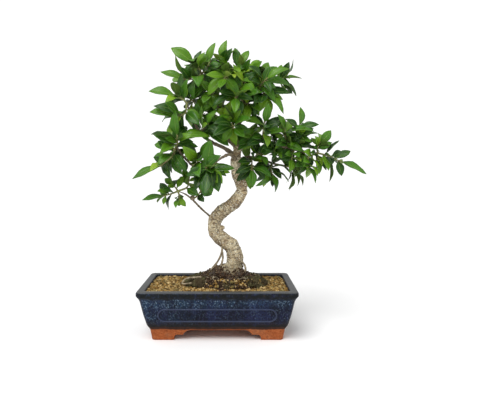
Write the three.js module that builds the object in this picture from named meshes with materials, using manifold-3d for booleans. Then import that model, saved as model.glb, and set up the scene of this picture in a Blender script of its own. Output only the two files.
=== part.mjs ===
// A ficus bonsai in a glazed rectangular pot. Millimetres, +Z up, +X to the right, -Y to the front.
import * as THREE from 'three';
import { mergeVertices } from 'three/addons/utils/BufferGeometryUtils.js';
import Module from 'manifold-3d';

const wasm = await Module();
wasm.setup();

// Driving dimensions.
const gap = 0.3;

const potLength = 260;
const potWidth = 150;
const potHeight = 82;
const potCorner = 9;
const lipHeight = 7;
const lipOverhang = 6;
const lipFlareHeight = 12;
// The flare under the lip bends at these shares of its height and of the overhang.
const flareBend = [0.6, 0.45];
const lipRounding = 2.5;
const rimWidth = 10;
const wallTaper = 10;
const floorThickness = 10;
const bandHeight = 7;
const bandInset = 4;

const footHeight = 17;
const footInset = 3;
const footThickness = 14;
const footLengthOnLongSide = 36;
const footLengthOnShortSide = 25;
const footShoulderHeight = 8;
const footShoulderOnLongSide = 18;
const footShoulderOnShortSide = 8;
const footCurve = 8;

const panelMargin = 7.5;
const panelEndMargin = 18;
const beadWidth = 2.4;
const beadHeight = 1.2;
const fieldDepth = 0.8;

const drainHoleRadius = 10;
const drainHoleSpacing = 120;
const screenSize = 34;
const screenThickness = 1.2;
const screenPitch = 11;
const screenBar = 1.4;

const soilDrop = 11;
const gravelDrop = 4;
const fitClearance = 0.4;
const moundHalfLength = 74;
const moundHalfWidth = 38;
const moundHeight = 24;
const moundOffset = -8;
const mossThickness = 4;

const treeOffset = 22;
const leafLength = 48;
const leafWidthShare = 0.48;
const leafThickness = 1;
const shootRadius = 1.5;
const crownMiddleX = 10;
const crownMiddleY = 25;
const leafArch = 0.22;
const leafRoom = 9;
const goldenAngle = 2.39996;
const branchSamples = 40;
const stemSamples = 6;
const tipPreference = 1.25;
const attempts = 12;
// Along and across the blade.
const bladeSpread = [[0.35, -0.8], [0.35, 0.8], [0.5, 0], [0.62, -0.85], [0.62, 0.85], [0.8, 0], [1, 0]];

// Levels that the dimensions above give.
const rimInnerLength = potLength - 2 * lipRounding - 2 * rimWidth;
const rimInnerWidth = potWidth - 2 * lipRounding - 2 * rimWidth;
const wallTop = potHeight - lipHeight - lipFlareHeight;
const wallBottom = footHeight + bandHeight;
const floorTop = footHeight + floorThickness;
const soilLevel = potHeight - soilDrop;
const gravelLevel = potHeight - gravelDrop;

// The tree's curves are chosen by hand, from the point where the trunk's axis meets the soil's level.
const trunkPath = [
  [-1, 0, -24, 30], [-1, 0, 2, 28], [0, 0, 26, 21], [5, 0, 38, 16], [7, 0, 51, 14.2], [6, 0, 61, 13.3],
  [2, 0, 72, 13], [-10, -1, 82, 12.8], [-22, -2, 92, 12.5], [-28, -2, 102, 12], [-29.5, -2, 111, 11.3],
  [-26, -1, 123, 12], [-17, 0, 133, 11.6], [-3, 1, 143, 11.2], [10, 1, 153, 11], [17, 0, 163, 10],
  [19, 0, 173, 9], [17, 0, 185, 11], [12, 0, 197, 10.8], [9, 0, 210, 9], [8, 0, 224, 8.6],
  [10, 0, 238, 8], [14, 0, 248, 6.5], [19, 0, 254, 4.5],
];
const rootPaths = {
  left: [[-6, -3, 34, 12], [-22, -6, 30, 12], [-38, -8, 22, 10], [-56, -8, 12, 7], [-70, -6, -6, 4]],
  right: [[8, -4, 34, 9], [24, -8, 24, 7], [38, -10, 17, 6], [52, -8, 4, 4], [58, -6, -8, 3]],
  front: [[0, -6, 30, 10], [-4, -20, 16, 8], [-6, -31, 4, 5], [-6, -36, -8, 3]],
  back: [[0, 6, 32, 10], [-6, 22, 22, 8], [-10, 34, 8, 6], [-12, 39, -8, 4]],
  aerial: [[-12, -4, 80, 3], [-15, -6, 73, 2.2], [-16, -8, 64, 1.9], [-22, -10, 50, 1.8],
    [-34, -10, 34, 2.2], [-46, -9, 17, 2.6]],
  aerialBranch: [[-16, -7, 68, 1.8], [-14, -9, 56, 1.7], [-16, -9, 45, 1.8], [-22, -8, 24, 2.2]],
  rightStrand: [[12, -8, 52, 2.2], [22, -12, 45, 1.8], [25, -13, 36, 1.8], [21, -13, 26, 2.4]],
  looseRoot: [[-42, -9, 20, 3], [-58, -18, 23, 1.5], [-78, -14, 19, 1.3], [-83, -20, 13, 1.3],
    [-66, -26, 15, 1.3]],
  stub: [[-22, -3, 104, 6], [-15, -6, 106, 4.5], [-11, -7, 107, 3]],
};
const branchPaths = {
  low_left: [[-25, -2, 112, 5], [-35, -3, 124, 4.4], [-52, -8, 140, 3.8], [-66, -14, 155, 3.2],
    [-78, -20, 165, 2.6], [-90, -24, 170, 2]],
  left: [[-66, -14, 158, 3], [-59, -18, 184, 3], [-56, -22, 198, 2.8], [-63, -26, 211, 2.6],
    [-71, -28, 219, 2.4], [-82, -30, 231, 2.1], [-92, -32, 246, 1.8]],
  upper_left: [[9, 0, 230, 5], [-12, -10, 244, 4], [-34, -18, 254, 3.5], [-52, -20, 268, 3],
    [-64, -20, 291, 2.6], [-75, -22, 319, 1.9]],
  crown_left: [[12, 2, 244, 5.5], [-7, 4, 264, 4.6], [-15, 6, 287, 4.2], [-19, 8, 312, 3.8],
    [-30, 8, 338, 3.2], [-42, 6, 358, 2.6], [-52, 4, 376, 2]],
  crown_centre: [[15, 0, 248, 5.5], [11, -6, 270, 4.8], [16, -8, 294, 4.2], [21, -6, 319, 3.8],
    [19, -4, 342, 3.2], [10, -6, 362, 2.6], [4, -8, 380, 2]],
  crown_right: [[21, -6, 317, 3.6], [37, 2, 332, 3.2], [52, 8, 346, 2.8], [68, 12, 358, 2.4],
    [82, 14, 366, 1.9]],
  right: [[17, 0, 251, 5], [40, 2, 258, 4.6], [61, 0, 255, 4.1], [85, -4, 248, 3.5],
    [109, -8, 242, 3], [129, -10, 237, 2.5], [150, -10, 235, 1.9]],
  lower_right: [[10, 0, 222, 4.2], [34, 12, 229, 3.5], [56, 22, 225, 3], [78, 28, 218, 2.5],
    [100, 30, 214, 1.9]],
  back: [[11, 2, 238, 4.2], [9, 25, 250, 3.4], [2, 50, 263, 2.7], [-10, 72, 276, 1.9]],
  front: [[9, -2, 224, 4], [-2, -25, 232, 3.2], [-15, -40, 226, 2.5], [-28, -52, 216, 1.9]],
  crown_back: [[-19, 8, 310, 3.4], [-13, 30, 332, 3], [-2, 48, 352, 2.4], [8, 60, 368, 1.8]],
};

// Each shoot: its branch, its end, the tip of its end leaf, how many leaves it bears and their size.
const shootPlan = {
  low_left_outer: ['low_left', [-110, -30, 163], [-148, -36, 154], 5, 0.66],
  low_left_middle: ['low_left', [-98, -22, 180], [-114, -16, 192], 4, 0.55],
  low_left_upper: ['low_left', [-72, -14, 190], [-84, -8, 208], 5, 0.6],
  low_left_inner: ['low_left', [-52, -18, 170], [-46, -28, 192], 4, 0.55],
  left_outer: ['left', [-114, -40, 214], [-161, -46, 189], 5, 0.9],
  left_lower: ['left', [-100, -18, 240], [-134, -6, 252], 5, 0.9],
  left_upper: ['left', [-88, -44, 258], [-92, -52, 302], 5, 1.1],
  left_inner: ['left', [-50, -38, 226], [-34, -48, 254], 5, 0.95],
  left_hanging: ['left', [-36, -42, 206], [-33, -58, 168], 5, 0.95],
  upper_left_outer: ['upper_left', [-92, -34, 294], [-134, -42, 304], 5, 0.95],
  upper_left_tip: ['upper_left', [-92, -24, 330], [-138, -30, 340], 5, 0.95],
  upper_left_inner: ['upper_left', [-60, 14, 318], [-52, 24, 290], 5, 1],
  upper_left_low: ['upper_left', [-42, -24, 280], [-26, -36, 308], 5, 1],
  crown_left_outer: ['crown_left', [-76, -10, 362], [-122, -8, 374], 5, 1],
  crown_left_tip: ['crown_left', [-62, 2, 390], [-105, 0, 421], 5, 0.95],
  crown_left_top: ['crown_left', [-38, -6, 390], [-30, -8, 428], 5, 0.9],
  crown_left_back: ['crown_left', [-52, 30, 376], [-84, 50, 390], 5, 1],
  crown_front: ['crown_centre', [-10, -38, 358], [-18, -66, 334], 5, 1],
  crown_top_left: ['crown_centre', [-16, -12, 390], [-9, -14, 430], 5, 0.9],
  crown_top: ['crown_centre', [16, -4, 386], [31, 0, 417], 5, 0.9],
  crown_low_front: ['crown_centre', [8, -40, 326], [6, -62, 296], 5, 1],
  crown_hanging: ['crown_centre', [4, -38, 276], [22, -54, 258], 5, 1],
  crown_right_front: ['crown_right', [58, -22, 358], [97, -32, 378], 5, 1],
  crown_right_top: ['crown_right', [52, 10, 374], [68, 12, 398], 5, 0.85],
  crown_right_tip: ['crown_right', [90, 16, 368], [127, 18, 370], 5, 0.9],
  crown_right_low: ['crown_right', [62, -18, 334], [92, -26, 306], 5, 1],
  right_inner: ['right', [56, -26, 284], [62, -40, 316], 5, 1],
  right_upper: ['right', [92, -18, 270], [80, -28, 300], 5, 0.95],
  right_shoot: ['right', [117, -14, 280], [119, -14, 314], 5, 0.8],
  right_outer: ['right', [152, -12, 252], [173, -14, 274], 5, 0.8],
  right_tip: ['right', [184, -16, 222], [229, -20, 197], 5, 0.85],
  right_low: ['right', [130, -20, 214], [144, -26, 184], 5, 0.85],
  right_back: ['right', [112, 22, 256], [138, 46, 252], 5, 0.95],
  lower_right_tip: ['lower_right', [114, 30, 206], [136, 36, 182], 5, 0.9],
  lower_right_middle: ['lower_right', [72, 6, 200], [78, -8, 178], 5, 0.95],
  lower_right_inner: ['lower_right', [36, -12, 208], [37, -26, 177], 5, 0.85],
  back_tip: ['back', [-20, 86, 284], [-26, 128, 276], 5, 1],
  back_right: ['back', [34, 62, 268], [70, 86, 262], 5, 1],
  front_tip: ['front', [-38, -60, 208], [-31, -72, 252], 5, 1],
  crown_back_tip: ['crown_back', [12, 70, 380], [30, 104, 388], 5, 1],
  crown_back_left: ['crown_back', [-36, 58, 340], [-60, 88, 334], 5, 1],
};

// Colour, roughness and metalness of each material.
const glaze = [0x35435c, 0.25, 0];
const plastic = [0x2b2c2a, 0.6, 0];
const earth = [0x3a2a20, 0.95, 0];
const gravelStone = [0xb08d57, 0.9, 0];
const moss = [0x66743a, 0.95, 0];
const bark = [0xa59a80, 0.8, 0];
const youngBark = [0x7d6a4e, 0.75, 0];
const foliage = [0x3f7a26, 0.4, 0];

// A closed solid from a geometry, with its faces pointing out.
function solid(geometry) {
  let plain = geometry.clone();
  plain.deleteAttribute('normal');
  plain.deleteAttribute('uv');
  plain = mergeVertices(plain, 1e-4);
  const index = Array.from(plain.index.array);
  const places = Array.from(plain.attributes.position.array);
  const corner = (number) => new THREE.Vector3().fromArray(places, 3 * number);
  const triangles = [];
  let volume = 0;
  for (let i = 0; i < index.length; i += 3) {
    const [a, b, c] = index.slice(i, i + 3);
    if (a !== b && b !== c && c !== a) {
      triangles.push([a, b, c]);
      volume += corner(a).dot(corner(b).cross(corner(c)));
    }
  }
  if (volume < 0) triangles.forEach((triangle) => triangle.reverse());
  const mesh = new wasm.Mesh({
    numProp: 3,
    vertProperties: Float32Array.from(places),
    triVerts: Uint32Array.from(triangles.flat()),
  });
  return new wasm.Manifold(mesh);
}

function join(solids) {
  return solids.reduce((whole, piece) => whole.add(piece));
}

function cutAway(piece, tools) {
  return tools.reduce((rest, tool) => rest.subtract(tool), piece);
}

function largest(piece) {
  const bodies = piece.decompose();
  return bodies.reduce((best, body) => (body.volume() > best.volume() ? body : best));
}

// A stack of rounded rectangles, each with its height, length, width and corner radius.
function loft(levels, cornerSteps = 3) {
  const outline = new THREE.Shape();
  for (const quarter of [0, 1, 2, 3]) {
    const turn = quarter * Math.PI / 2;
    const middle = new THREE.Vector2(0.5, 0.5).rotateAround(new THREE.Vector2(), turn);
    outline.absarc(middle.x, middle.y, 0.5, turn, turn + Math.PI / 2, false);
  }
  const spans = levels.length - 1;
  const settings = { depth: spans, steps: spans, bevelEnabled: false, curveSegments: cornerSteps };
  const geometry = new THREE.ExtrudeGeometry(outline, settings);
  const places = geometry.attributes.position;
  for (let i = 0; i < places.count; i += 1) {
    const level = levels[Math.round(places.getZ(i))];
    const sideX = Math.sign(places.getX(i));
    const sideY = Math.sign(places.getY(i));
    const x = sideX * (level.length / 2 - level.corner) + (places.getX(i) - sideX * 0.5) * 2 * level.corner;
    const y = sideY * (level.width / 2 - level.corner) + (places.getY(i) - sideY * 0.5) * 2 * level.corner;
    places.setXYZ(i, x, y, level.z);
  }
  return solid(geometry);
}

function level(z, length, width, corner) {
  return { z, length, width, corner };
}

function curveOf(path) {
  const points = path.map(([x, y, z]) => new THREE.Vector3(x, y, z));
  return new THREE.CatmullRomCurve3(points, false, 'centripetal');
}

// A round limb along a path of points with radii, each grown by a margin.
function limb(path, sides, stepsPerSpan, margin = 0) {
  const spans = path.length - 1;
  const steps = spans * stepsPerSpan;
  const curve = curveOf(path);
  const rings = [];
  let side = new THREE.Vector3(0, 1, 0);
  for (let step = 0; step <= steps; step += 1) {
    const share = step / steps;
    const tangent = curve.getTangent(share);
    if (Math.abs(side.dot(tangent)) > 0.95) side = new THREE.Vector3(1, 0, 0);
    side = side.clone().addScaledVector(tangent, -side.dot(tangent)).normalize();
    const low = Math.min(Math.floor(share * spans), spans - 1);
    const radius = THREE.MathUtils.lerp(path[low][3], path[low + 1][3], share * spans - low);
    rings.push({
      centre: curve.getPoint(share),
      side,
      other: new THREE.Vector3().crossVectors(tangent, side),
      radius: radius + margin,
    });
  }
  rings[0].centre.addScaledVector(curve.getTangent(0), -margin);
  rings[steps].centre.addScaledVector(curve.getTangent(1), margin);
  const geometry = new THREE.CylinderGeometry(1, 1, 1, sides, steps);
  const places = geometry.attributes.position;
  for (let i = 0; i < places.count; i += 1) {
    const ring = rings[Math.round((0.5 - places.getY(i)) * steps)];
    const place = ring.centre.clone();
    place.addScaledVector(ring.side, places.getX(i) * ring.radius);
    place.addScaledVector(ring.other, places.getZ(i) * ring.radius);
    places.setXYZ(i, place.x, place.y, place.z);
  }
  return solid(geometry);
}

// The same numbers in the same order on every run.
function numberSource(seed) {
  let state = seed;
  return () => {
    state = (state * 16807) % 2147483647;
    return state / 2147483647;
  };
}

// The curve of a shoot, from the nearest point of its branch to its end.
function shootPath(name) {
  const [branch, end, tip] = shootPlan[name];
  const endPoint = new THREE.Vector3(...end);
  const branchCurve = curveOf(branchPaths[branch]);
  let start = branchCurve.getPoint(1);
  const reach = start.distanceTo(endPoint) / tipPreference;
  for (let i = branchSamples * 0.3; i <= branchSamples; i += 1) {
    const place = branchCurve.getPoint(i / branchSamples);
    if (place.distanceTo(endPoint) < Math.min(reach, start.distanceTo(endPoint))) start = place;
  }
  const heading = new THREE.Vector3(...tip).sub(endPoint).normalize();
  const middle = endPoint.clone().addScaledVector(heading, -0.4 * start.distanceTo(endPoint));
  middle.lerp(start, 0.35);
  return [start, middle, endPoint].map((place, i) => [...place.toArray(), shootRadius * (1.2 - 0.25 * i)]);
}

function leafOf(base, tip, facing) {
  const direction = tip.clone().sub(base).normalize();
  const face = facing.clone().addScaledVector(direction, -facing.dot(direction)).normalize();
  const across = new THREE.Vector3().crossVectors(direction, face);
  return { base, direction, face, across, length: base.distanceTo(tip) };
}

// Blades face up and out to the front or the back, and less to the ends.
function facingAt(place) {
  const outward = new THREE.Vector3(0.3 * (place.x - crownMiddleX), place.y - crownMiddleY, 0).normalize();
  return outward.multiplyScalar(0.75).add(new THREE.Vector3(0, 0, 0.55));
}

// Points spread over a blade, which later leaves keep clear of.
function bladePoints(leaf) {
  const points = [];
  for (const [share, sideShare] of bladeSpread) {
    const arch = leafArch * share * (1 - share) * leaf.length;
    const sideways = sideShare * leaf.length * leafWidthShare / 2;
    const place = leaf.base.clone().addScaledVector(leaf.direction, share * leaf.length);
    points.push(place.addScaledVector(leaf.face, arch).addScaledVector(leaf.across, sideways));
  }
  return points;
}

function clearanceTo(points, taken) {
  let nearest = Infinity;
  for (const point of points) {
    for (const other of taken) nearest = Math.min(nearest, point.distanceToSquared(other));
  }
  return Math.sqrt(nearest);
}

// A side leaf stands out from the shoot, turned on from the leaf before it, where it has the most room.
function sideLeaf(curve, share, angle, size, random, taken) {
  const base = curve.getPoint(share);
  const tangent = curve.getTangent(share);
  const side = new THREE.Vector3(0, 0, 1).cross(tangent).normalize();
  const other = new THREE.Vector3().crossVectors(tangent, side);
  const reach = leafLength * size * (0.8 + 0.3 * random());
  const lean = 0.35 + 0.4 * random();
  const droop = 0.15 + 0.3 * random();
  const [swayX, swayY] = [random() - 0.5, random() - 0.5];
  let best = null;
  let bestRoom = -1;
  for (let attempt = 0; attempt < attempts && bestRoom < leafRoom; attempt += 1) {
    const turned = angle + attempt * 2 * Math.PI / attempts;
    const outward = side.clone().multiplyScalar(Math.cos(turned)).addScaledVector(other, Math.sin(turned));
    const direction = tangent.clone().multiplyScalar(lean).add(outward);
    direction.z -= droop;
    direction.normalize();
    const facing = facingAt(base).add(new THREE.Vector3(0.9 * swayX, 0.9 * swayY, 0));
    const leaf = leafOf(base, base.clone().addScaledVector(direction, reach), facing);
    const room = clearanceTo(bladePoints(leaf), taken);
    if (room > bestRoom) [best, bestRoom] = [leaf, room];
  }
  return best;
}

// Every shoot's path and leaves, with the end leaves placed first.
function growShoots() {
  const taken = [];
  for (const path of [trunkPath, ...Object.values(branchPaths)]) {
    const curve = curveOf(path);
    for (let i = 0; i <= branchSamples; i += 1) taken.push(curve.getPoint(i / branchSamples));
  }
  const shoots = Object.entries(shootPlan).map(([name, [, end, tip, count, size]]) => {
    const base = new THREE.Vector3(...end);
    const leaf = leafOf(base, new THREE.Vector3(...tip), facingAt(base));
    const path = shootPath(name);
    taken.push(...bladePoints(leaf), ...curveOf(path).getPoints(stemSamples));
    return { name, path, count, size, leaves: [leaf] };
  });
  shoots.forEach((shoot, number) => {
    const random = numberSource(1000 + 37 * number);
    const curve = curveOf(shoot.path);
    const firstAngle = random() * 2 * Math.PI;
    const sideLeaves = shoot.count - 1;
    for (let i = 0; i < sideLeaves; i += 1) {
      const share = 1 - 0.7 * (i + 0.35) / sideLeaves;
      const leaf = sideLeaf(curve, share, firstAngle + goldenAngle * i, shoot.size, random, taken);
      shoot.leaves.push(leaf);
      taken.push(...bladePoints(leaf));
    }
  });
  return shoots;
}

// One leaf blade on its stalk, arched along its length and grown by a margin.
function leafSolid(leaf, margin = 0) {
  const half = leaf.length * leafWidthShare / 2;
  const outline = new THREE.Shape([
    new THREE.Vector2(0, -margin),
    new THREE.Vector2(half + margin, 0.38 * leaf.length),
    new THREE.Vector2(0.8 * half + margin, 0.68 * leaf.length),
    new THREE.Vector2(0, leaf.length + 2 * margin),
    new THREE.Vector2(-0.8 * half - margin, 0.68 * leaf.length),
    new THREE.Vector2(-half - margin, 0.38 * leaf.length),
  ]);
  const depth = leafThickness + 2 * margin;
  const geometry = new THREE.ExtrudeGeometry(outline, { depth, steps: 1, bevelEnabled: false });
  geometry.translate(0, 0, -depth / 2);
  const places = geometry.attributes.position;
  for (let i = 0; i < places.count; i += 1) {
    const share = places.getY(i) / leaf.length;
    places.setZ(i, places.getZ(i) + leafArch * share * (1 - share) * leaf.length);
  }
  geometry.applyMatrix4(new THREE.Matrix4().makeBasis(leaf.across, leaf.direction, leaf.face));
  geometry.translate(...leaf.base.toArray());
  return solid(geometry);
}

function sprayOf(shoot, margin = 0) {
  return join([limb(shoot.path, 4, 1, margin), ...shoot.leaves.map((leaf) => leafSolid(leaf, margin))]);
}

// The pot's walls, lip and feet, in one fired piece.
function stadium(length, height) {
  const end = height / 2;
  const outline = new THREE.Shape();
  outline.absarc(length / 2 - end, 0, end, -Math.PI / 2, Math.PI / 2, false);
  outline.absarc(end - length / 2, 0, end, Math.PI / 2, 3 * Math.PI / 2, false);
  return outline;
}

function panelTools(faceLength, halfDepth) {
  const wallHeight = wallTop - wallBottom;
  const slope = Math.atan2(wallTaper, wallHeight);
  const length = faceLength - 2 * panelEndMargin;
  const height = wallHeight - 2 * panelMargin;
  const beadOutline = stadium(length, height);
  const inside = stadium(length - 2 * beadWidth, height - 2 * beadWidth);
  beadOutline.holes.push(new THREE.Path(inside.getPoints(5)));
  const settings = { depth: beadHeight + 2, bevelEnabled: false, curveSegments: 5 };
  const bead = new THREE.ExtrudeGeometry(beadOutline, settings);
  bead.translate(0, 0, -2);
  const fieldOutline = stadium(length - 2 * beadWidth - 1, height - 2 * beadWidth - 1);
  const field = new THREE.ExtrudeGeometry(fieldOutline, { ...settings, depth: 4 });
  field.translate(0, 0, -fieldDepth);
  const up = new THREE.Vector3(0, -Math.sin(slope), Math.cos(slope));
  const out = new THREE.Vector3(0, -Math.cos(slope), -Math.sin(slope));
  const onFace = new THREE.Matrix4().makeBasis(new THREE.Vector3(1, 0, 0), up, out);
  onFace.setPosition(0, -halfDepth, (wallTop + wallBottom) / 2);
  return [bead.applyMatrix4(onFace), field.applyMatrix4(onFace)];
}

function archOutline(halfOpening, shoulderLength) {
  const shoulder = halfOpening - shoulderLength;
  const outline = new THREE.Shape();
  outline.moveTo(-halfOpening, -1);
  outline.lineTo(-halfOpening, 0);
  outline.quadraticCurveTo(-halfOpening, footShoulderHeight, -shoulder - footCurve, footShoulderHeight + 1);
  outline.quadraticCurveTo(-shoulder, footShoulderHeight + 1, -shoulder + footCurve / 2, footHeight);
  outline.lineTo(shoulder - footCurve / 2, footHeight);
  outline.quadraticCurveTo(shoulder, footShoulderHeight + 1, shoulder + footCurve, footShoulderHeight + 1);
  outline.quadraticCurveTo(halfOpening, footShoulderHeight, halfOpening, 0);
  outline.lineTo(halfOpening, -1);
  return outline;
}

function archTool(halfOpening, shoulderLength, reach, turn) {
  const settings = { depth: reach, bevelEnabled: false, curveSegments: 3 };
  const geometry = new THREE.ExtrudeGeometry(archOutline(halfOpening, shoulderLength), settings);
  geometry.translate(0, 0, -reach / 2);
  geometry.rotateX(Math.PI / 2);
  geometry.rotateZ(turn);
  return solid(geometry);
}

function potSolid() {
  const topLength = potLength - 2 * lipOverhang;
  const topWidth = potWidth - 2 * lipOverhang;
  const bottomLength = topLength - 2 * wallTaper;
  const bottomWidth = topWidth - 2 * wallTaper;
  const baseLength = bottomLength - 2 * bandInset;
  const baseWidth = bottomWidth - 2 * bandInset;
  const lipBottom = potHeight - lipHeight;
  const bendHeight = flareBend[0] * lipFlareHeight;
  const bendOverhang = flareBend[1] * lipOverhang;
  const outer = loft([
    level(0, baseLength - 2 * footInset, baseWidth - 2 * footInset, potCorner - 6),
    level(footHeight, baseLength, baseWidth, potCorner - 5),
    level(wallBottom, bottomLength, bottomWidth, potCorner - 4),
    level(wallTop, topLength, topWidth, potCorner - 3),
    level(wallTop + bendHeight, topLength + 2 * bendOverhang, topWidth + 2 * bendOverhang, potCorner - 2),
    level(lipBottom, potLength, potWidth, potCorner),
    level(potHeight - lipRounding, potLength, potWidth, potCorner),
    level(potHeight, potLength - 2 * lipRounding, potWidth - 2 * lipRounding, potCorner - lipRounding),
  ]);
  const footLength = baseLength - 2 * footInset;
  const footWidth = baseWidth - 2 * footInset;
  const betweenFeet = loft([
    level(-1, footLength - 2 * footThickness, footWidth - 2 * footThickness, 4),
    level(footHeight, footLength - 2 * footThickness, footWidth - 2 * footThickness, 4),
  ]);
  const arches = [
    archTool(footLength / 2 - footLengthOnLongSide, footShoulderOnLongSide, potWidth + 20, 0),
    archTool(footWidth / 2 - footLengthOnShortSide, footShoulderOnShortSide, potLength + 20, Math.PI / 2),
  ];
  const faces = [
    [bottomLength + wallTaper, (bottomWidth + wallTaper) / 2, 0],
    [bottomWidth + wallTaper, (bottomLength + wallTaper) / 2, Math.PI / 2],
    [bottomLength + wallTaper, (bottomWidth + wallTaper) / 2, Math.PI],
    [bottomWidth + wallTaper, (bottomLength + wallTaper) / 2, -Math.PI / 2],
  ];
  let pot = outer;
  for (const [faceLength, halfDepth, turn] of faces) {
    const [bead, field] = panelTools(faceLength - wallTaper, halfDepth);
    pot = pot.subtract(solid(field.rotateZ(turn))).add(solid(bead.rotateZ(turn)));
  }
  return cutAway(pot, [cavity(0, potHeight + 1), betweenFeet, ...arches, ...drainHoles()]);
}

// The pot's hollow, shrunk by a clearance, from the floor to a level.
function cavity(clearance, top) {
  const bottomLength = rimInnerLength - 2 * wallTaper;
  const bottomWidth = rimInnerWidth - 2 * wallTaper;
  const share = (top - floorTop) / (potHeight - floorTop);
  const grow = 2 * wallTaper * share - 2 * clearance;
  return loft([
    level(floorTop + clearance, bottomLength - 2 * clearance, bottomWidth - 2 * clearance, 5),
    level(top, bottomLength + grow, bottomWidth + grow, 6),
  ], 3);
}

function drainHoles() {
  return [-1, 1].map((side) => {
    const hole = new THREE.CylinderGeometry(drainHoleRadius, drainHoleRadius, floorThickness + 4, 24);
    hole.rotateX(Math.PI / 2);
    hole.translate(side * drainHoleSpacing / 2, 0, footHeight + floorThickness / 2);
    return solid(hole);
  });
}

// A mesh square of crossing bars over a drain hole, and the room that the soil leaves for it.
function screenSolid(side) {
  const bars = Math.round((screenSize - screenBar) / screenPitch) + 1;
  const pieces = [];
  for (let number = 0; number < bars; number += 1) {
    const place = (number / (bars - 1) - 0.5) * (screenSize - screenBar);
    const along = new THREE.BoxGeometry(screenSize, screenBar, screenThickness);
    const across = new THREE.BoxGeometry(screenBar, screenSize, screenThickness);
    pieces.push(solid(along.translate(0, place, 0)), solid(across.translate(place, 0, 0)));
  }
  return join(pieces).translate([side * drainHoleSpacing / 2, 0, floorTop + gap + screenThickness / 2]);
}

function screenRoom(side) {
  const room = screenSize + 2 * fitClearance;
  const height = screenThickness + gap + fitClearance;
  const geometry = new THREE.BoxGeometry(room, room, height + 2);
  geometry.translate(side * drainHoleSpacing / 2, 0, floorTop + height / 2 - 1);
  return solid(geometry);
}

// The heap that the roots lie in, grown by a margin.
function moundSolid(margin = 0) {
  const profile = [
    [0, -6], [1, -6], [0.99, 3], [0.94, 10], [0.82, 17], [0.62, 21.5], [0.35, 23.6], [0, 24],
  ].map(([radius, z]) => new THREE.Vector2(radius, z));
  const geometry = new THREE.LatheGeometry(profile, 20);
  geometry.rotateX(Math.PI / 2);
  geometry.scale(moundHalfLength + margin, moundHalfWidth + margin, (moundHeight + margin) / 24);
  geometry.translate(treeOffset + moundOffset, 0, soilLevel);
  return solid(geometry);
}

function patch(x, y, z, lengthwise, across, tall) {
  const geometry = new THREE.SphereGeometry(1, 12, 7);
  geometry.scale(lengthwise, across, tall);
  geometry.translate(treeOffset + x, y, soilLevel + z);
  return solid(geometry);
}

function inPot(piece) {
  return piece.translate([treeOffset, 0, soilLevel]);
}

function treeNodes(group) {
  const trunkOf = (margin) => inPot(join([
    limb(trunkPath, 12, 1, margin),
    ...Object.values(rootPaths).map((path) => limb(path, 6, 1, margin)),
  ]));
  const trunk = trunkOf(0);
  addMesh(group, 'trunk', trunk, bark);
  const taken = [trunkOf(gap)];
  for (const [name, path] of Object.entries(branchPaths)) {
    addMesh(group, `branch_${name}`, largest(cutAway(inPot(limb(path, 6, 1)), taken)), youngBark);
    taken.push(inPot(limb(path, 6, 1, gap)));
  }
  for (const shoot of growShoots()) {
    addMesh(group, `leaves_${shoot.name}`, largest(cutAway(inPot(sprayOf(shoot)), taken)), foliage);
    taken.push(inPot(sprayOf(shoot, gap)));
  }
  return taken[0];
}

function addMesh(group, name, piece, [color, roughness, metalness]) {
  const { vertProperties, triVerts } = piece.getMesh();
  const geometry = new THREE.BufferGeometry();
  geometry.setAttribute('position', new THREE.BufferAttribute(vertProperties, 3));
  geometry.setIndex(new THREE.BufferAttribute(triVerts, 1));
  geometry.computeVertexNormals();
  const mesh = new THREE.Mesh(geometry, new THREE.MeshStandardMaterial({ color, roughness, metalness }));
  mesh.name = name;
  group.add(mesh);
}

function build() {
  const group = new THREE.Group();
  addMesh(group, 'pot', potSolid(), glaze);
  addMesh(group, 'drain_screen_left', screenSolid(-1), plastic);
  addMesh(group, 'drain_screen_right', screenSolid(1), plastic);
  const grownTrunk = treeNodes(group);
  const insideWalls = cavity(fitClearance, potHeight + moundHeight);
  const heap = moundSolid().intersect(insideWalls);
  const bed = cavity(fitClearance, soilLevel);
  const soil = cutAway(bed.add(heap), [grownTrunk, screenRoom(-1), screenRoom(1)]);
  addMesh(group, 'soil', largest(soil), earth);
  const aboveSoil = cavity(fitClearance, gravelLevel).subtract(cavity(-5, soilLevel + gap));
  const gravel = cutAway(aboveSoil, [moundSolid(gap), grownTrunk]);
  addMesh(group, 'gravel_top_dressing', largest(gravel), gravelStone);
  const skin = cutAway(moundSolid(mossThickness).intersect(insideWalls), [moundSolid(gap), grownTrunk]);
  const overGravel = skin.subtract(cavity(-5, gravelLevel + gap));
  addMesh(group, 'moss_patch_left', largest(overGravel.intersect(patch(-62, -8, 16, 24, 34, 20))), moss);
  addMesh(group, 'moss_patch_right', largest(overGravel.intersect(patch(42, -4, 16, 24, 34, 20))), moss);
  return group;
}

const bonsai = build();
const box = new THREE.Box3().setFromObject(bonsai);
const middle = box.getCenter(new THREE.Vector3());
bonsai.position.set(-middle.x, -middle.y, -box.min.z);
export default bonsai;
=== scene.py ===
"""A ficus bonsai in a blue glazed rectangular pot. Metres, +Z up, the front faces -Y."""

import math

import bmesh
import bpy
import numpy as np
from mathutils import Matrix, Vector


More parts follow.
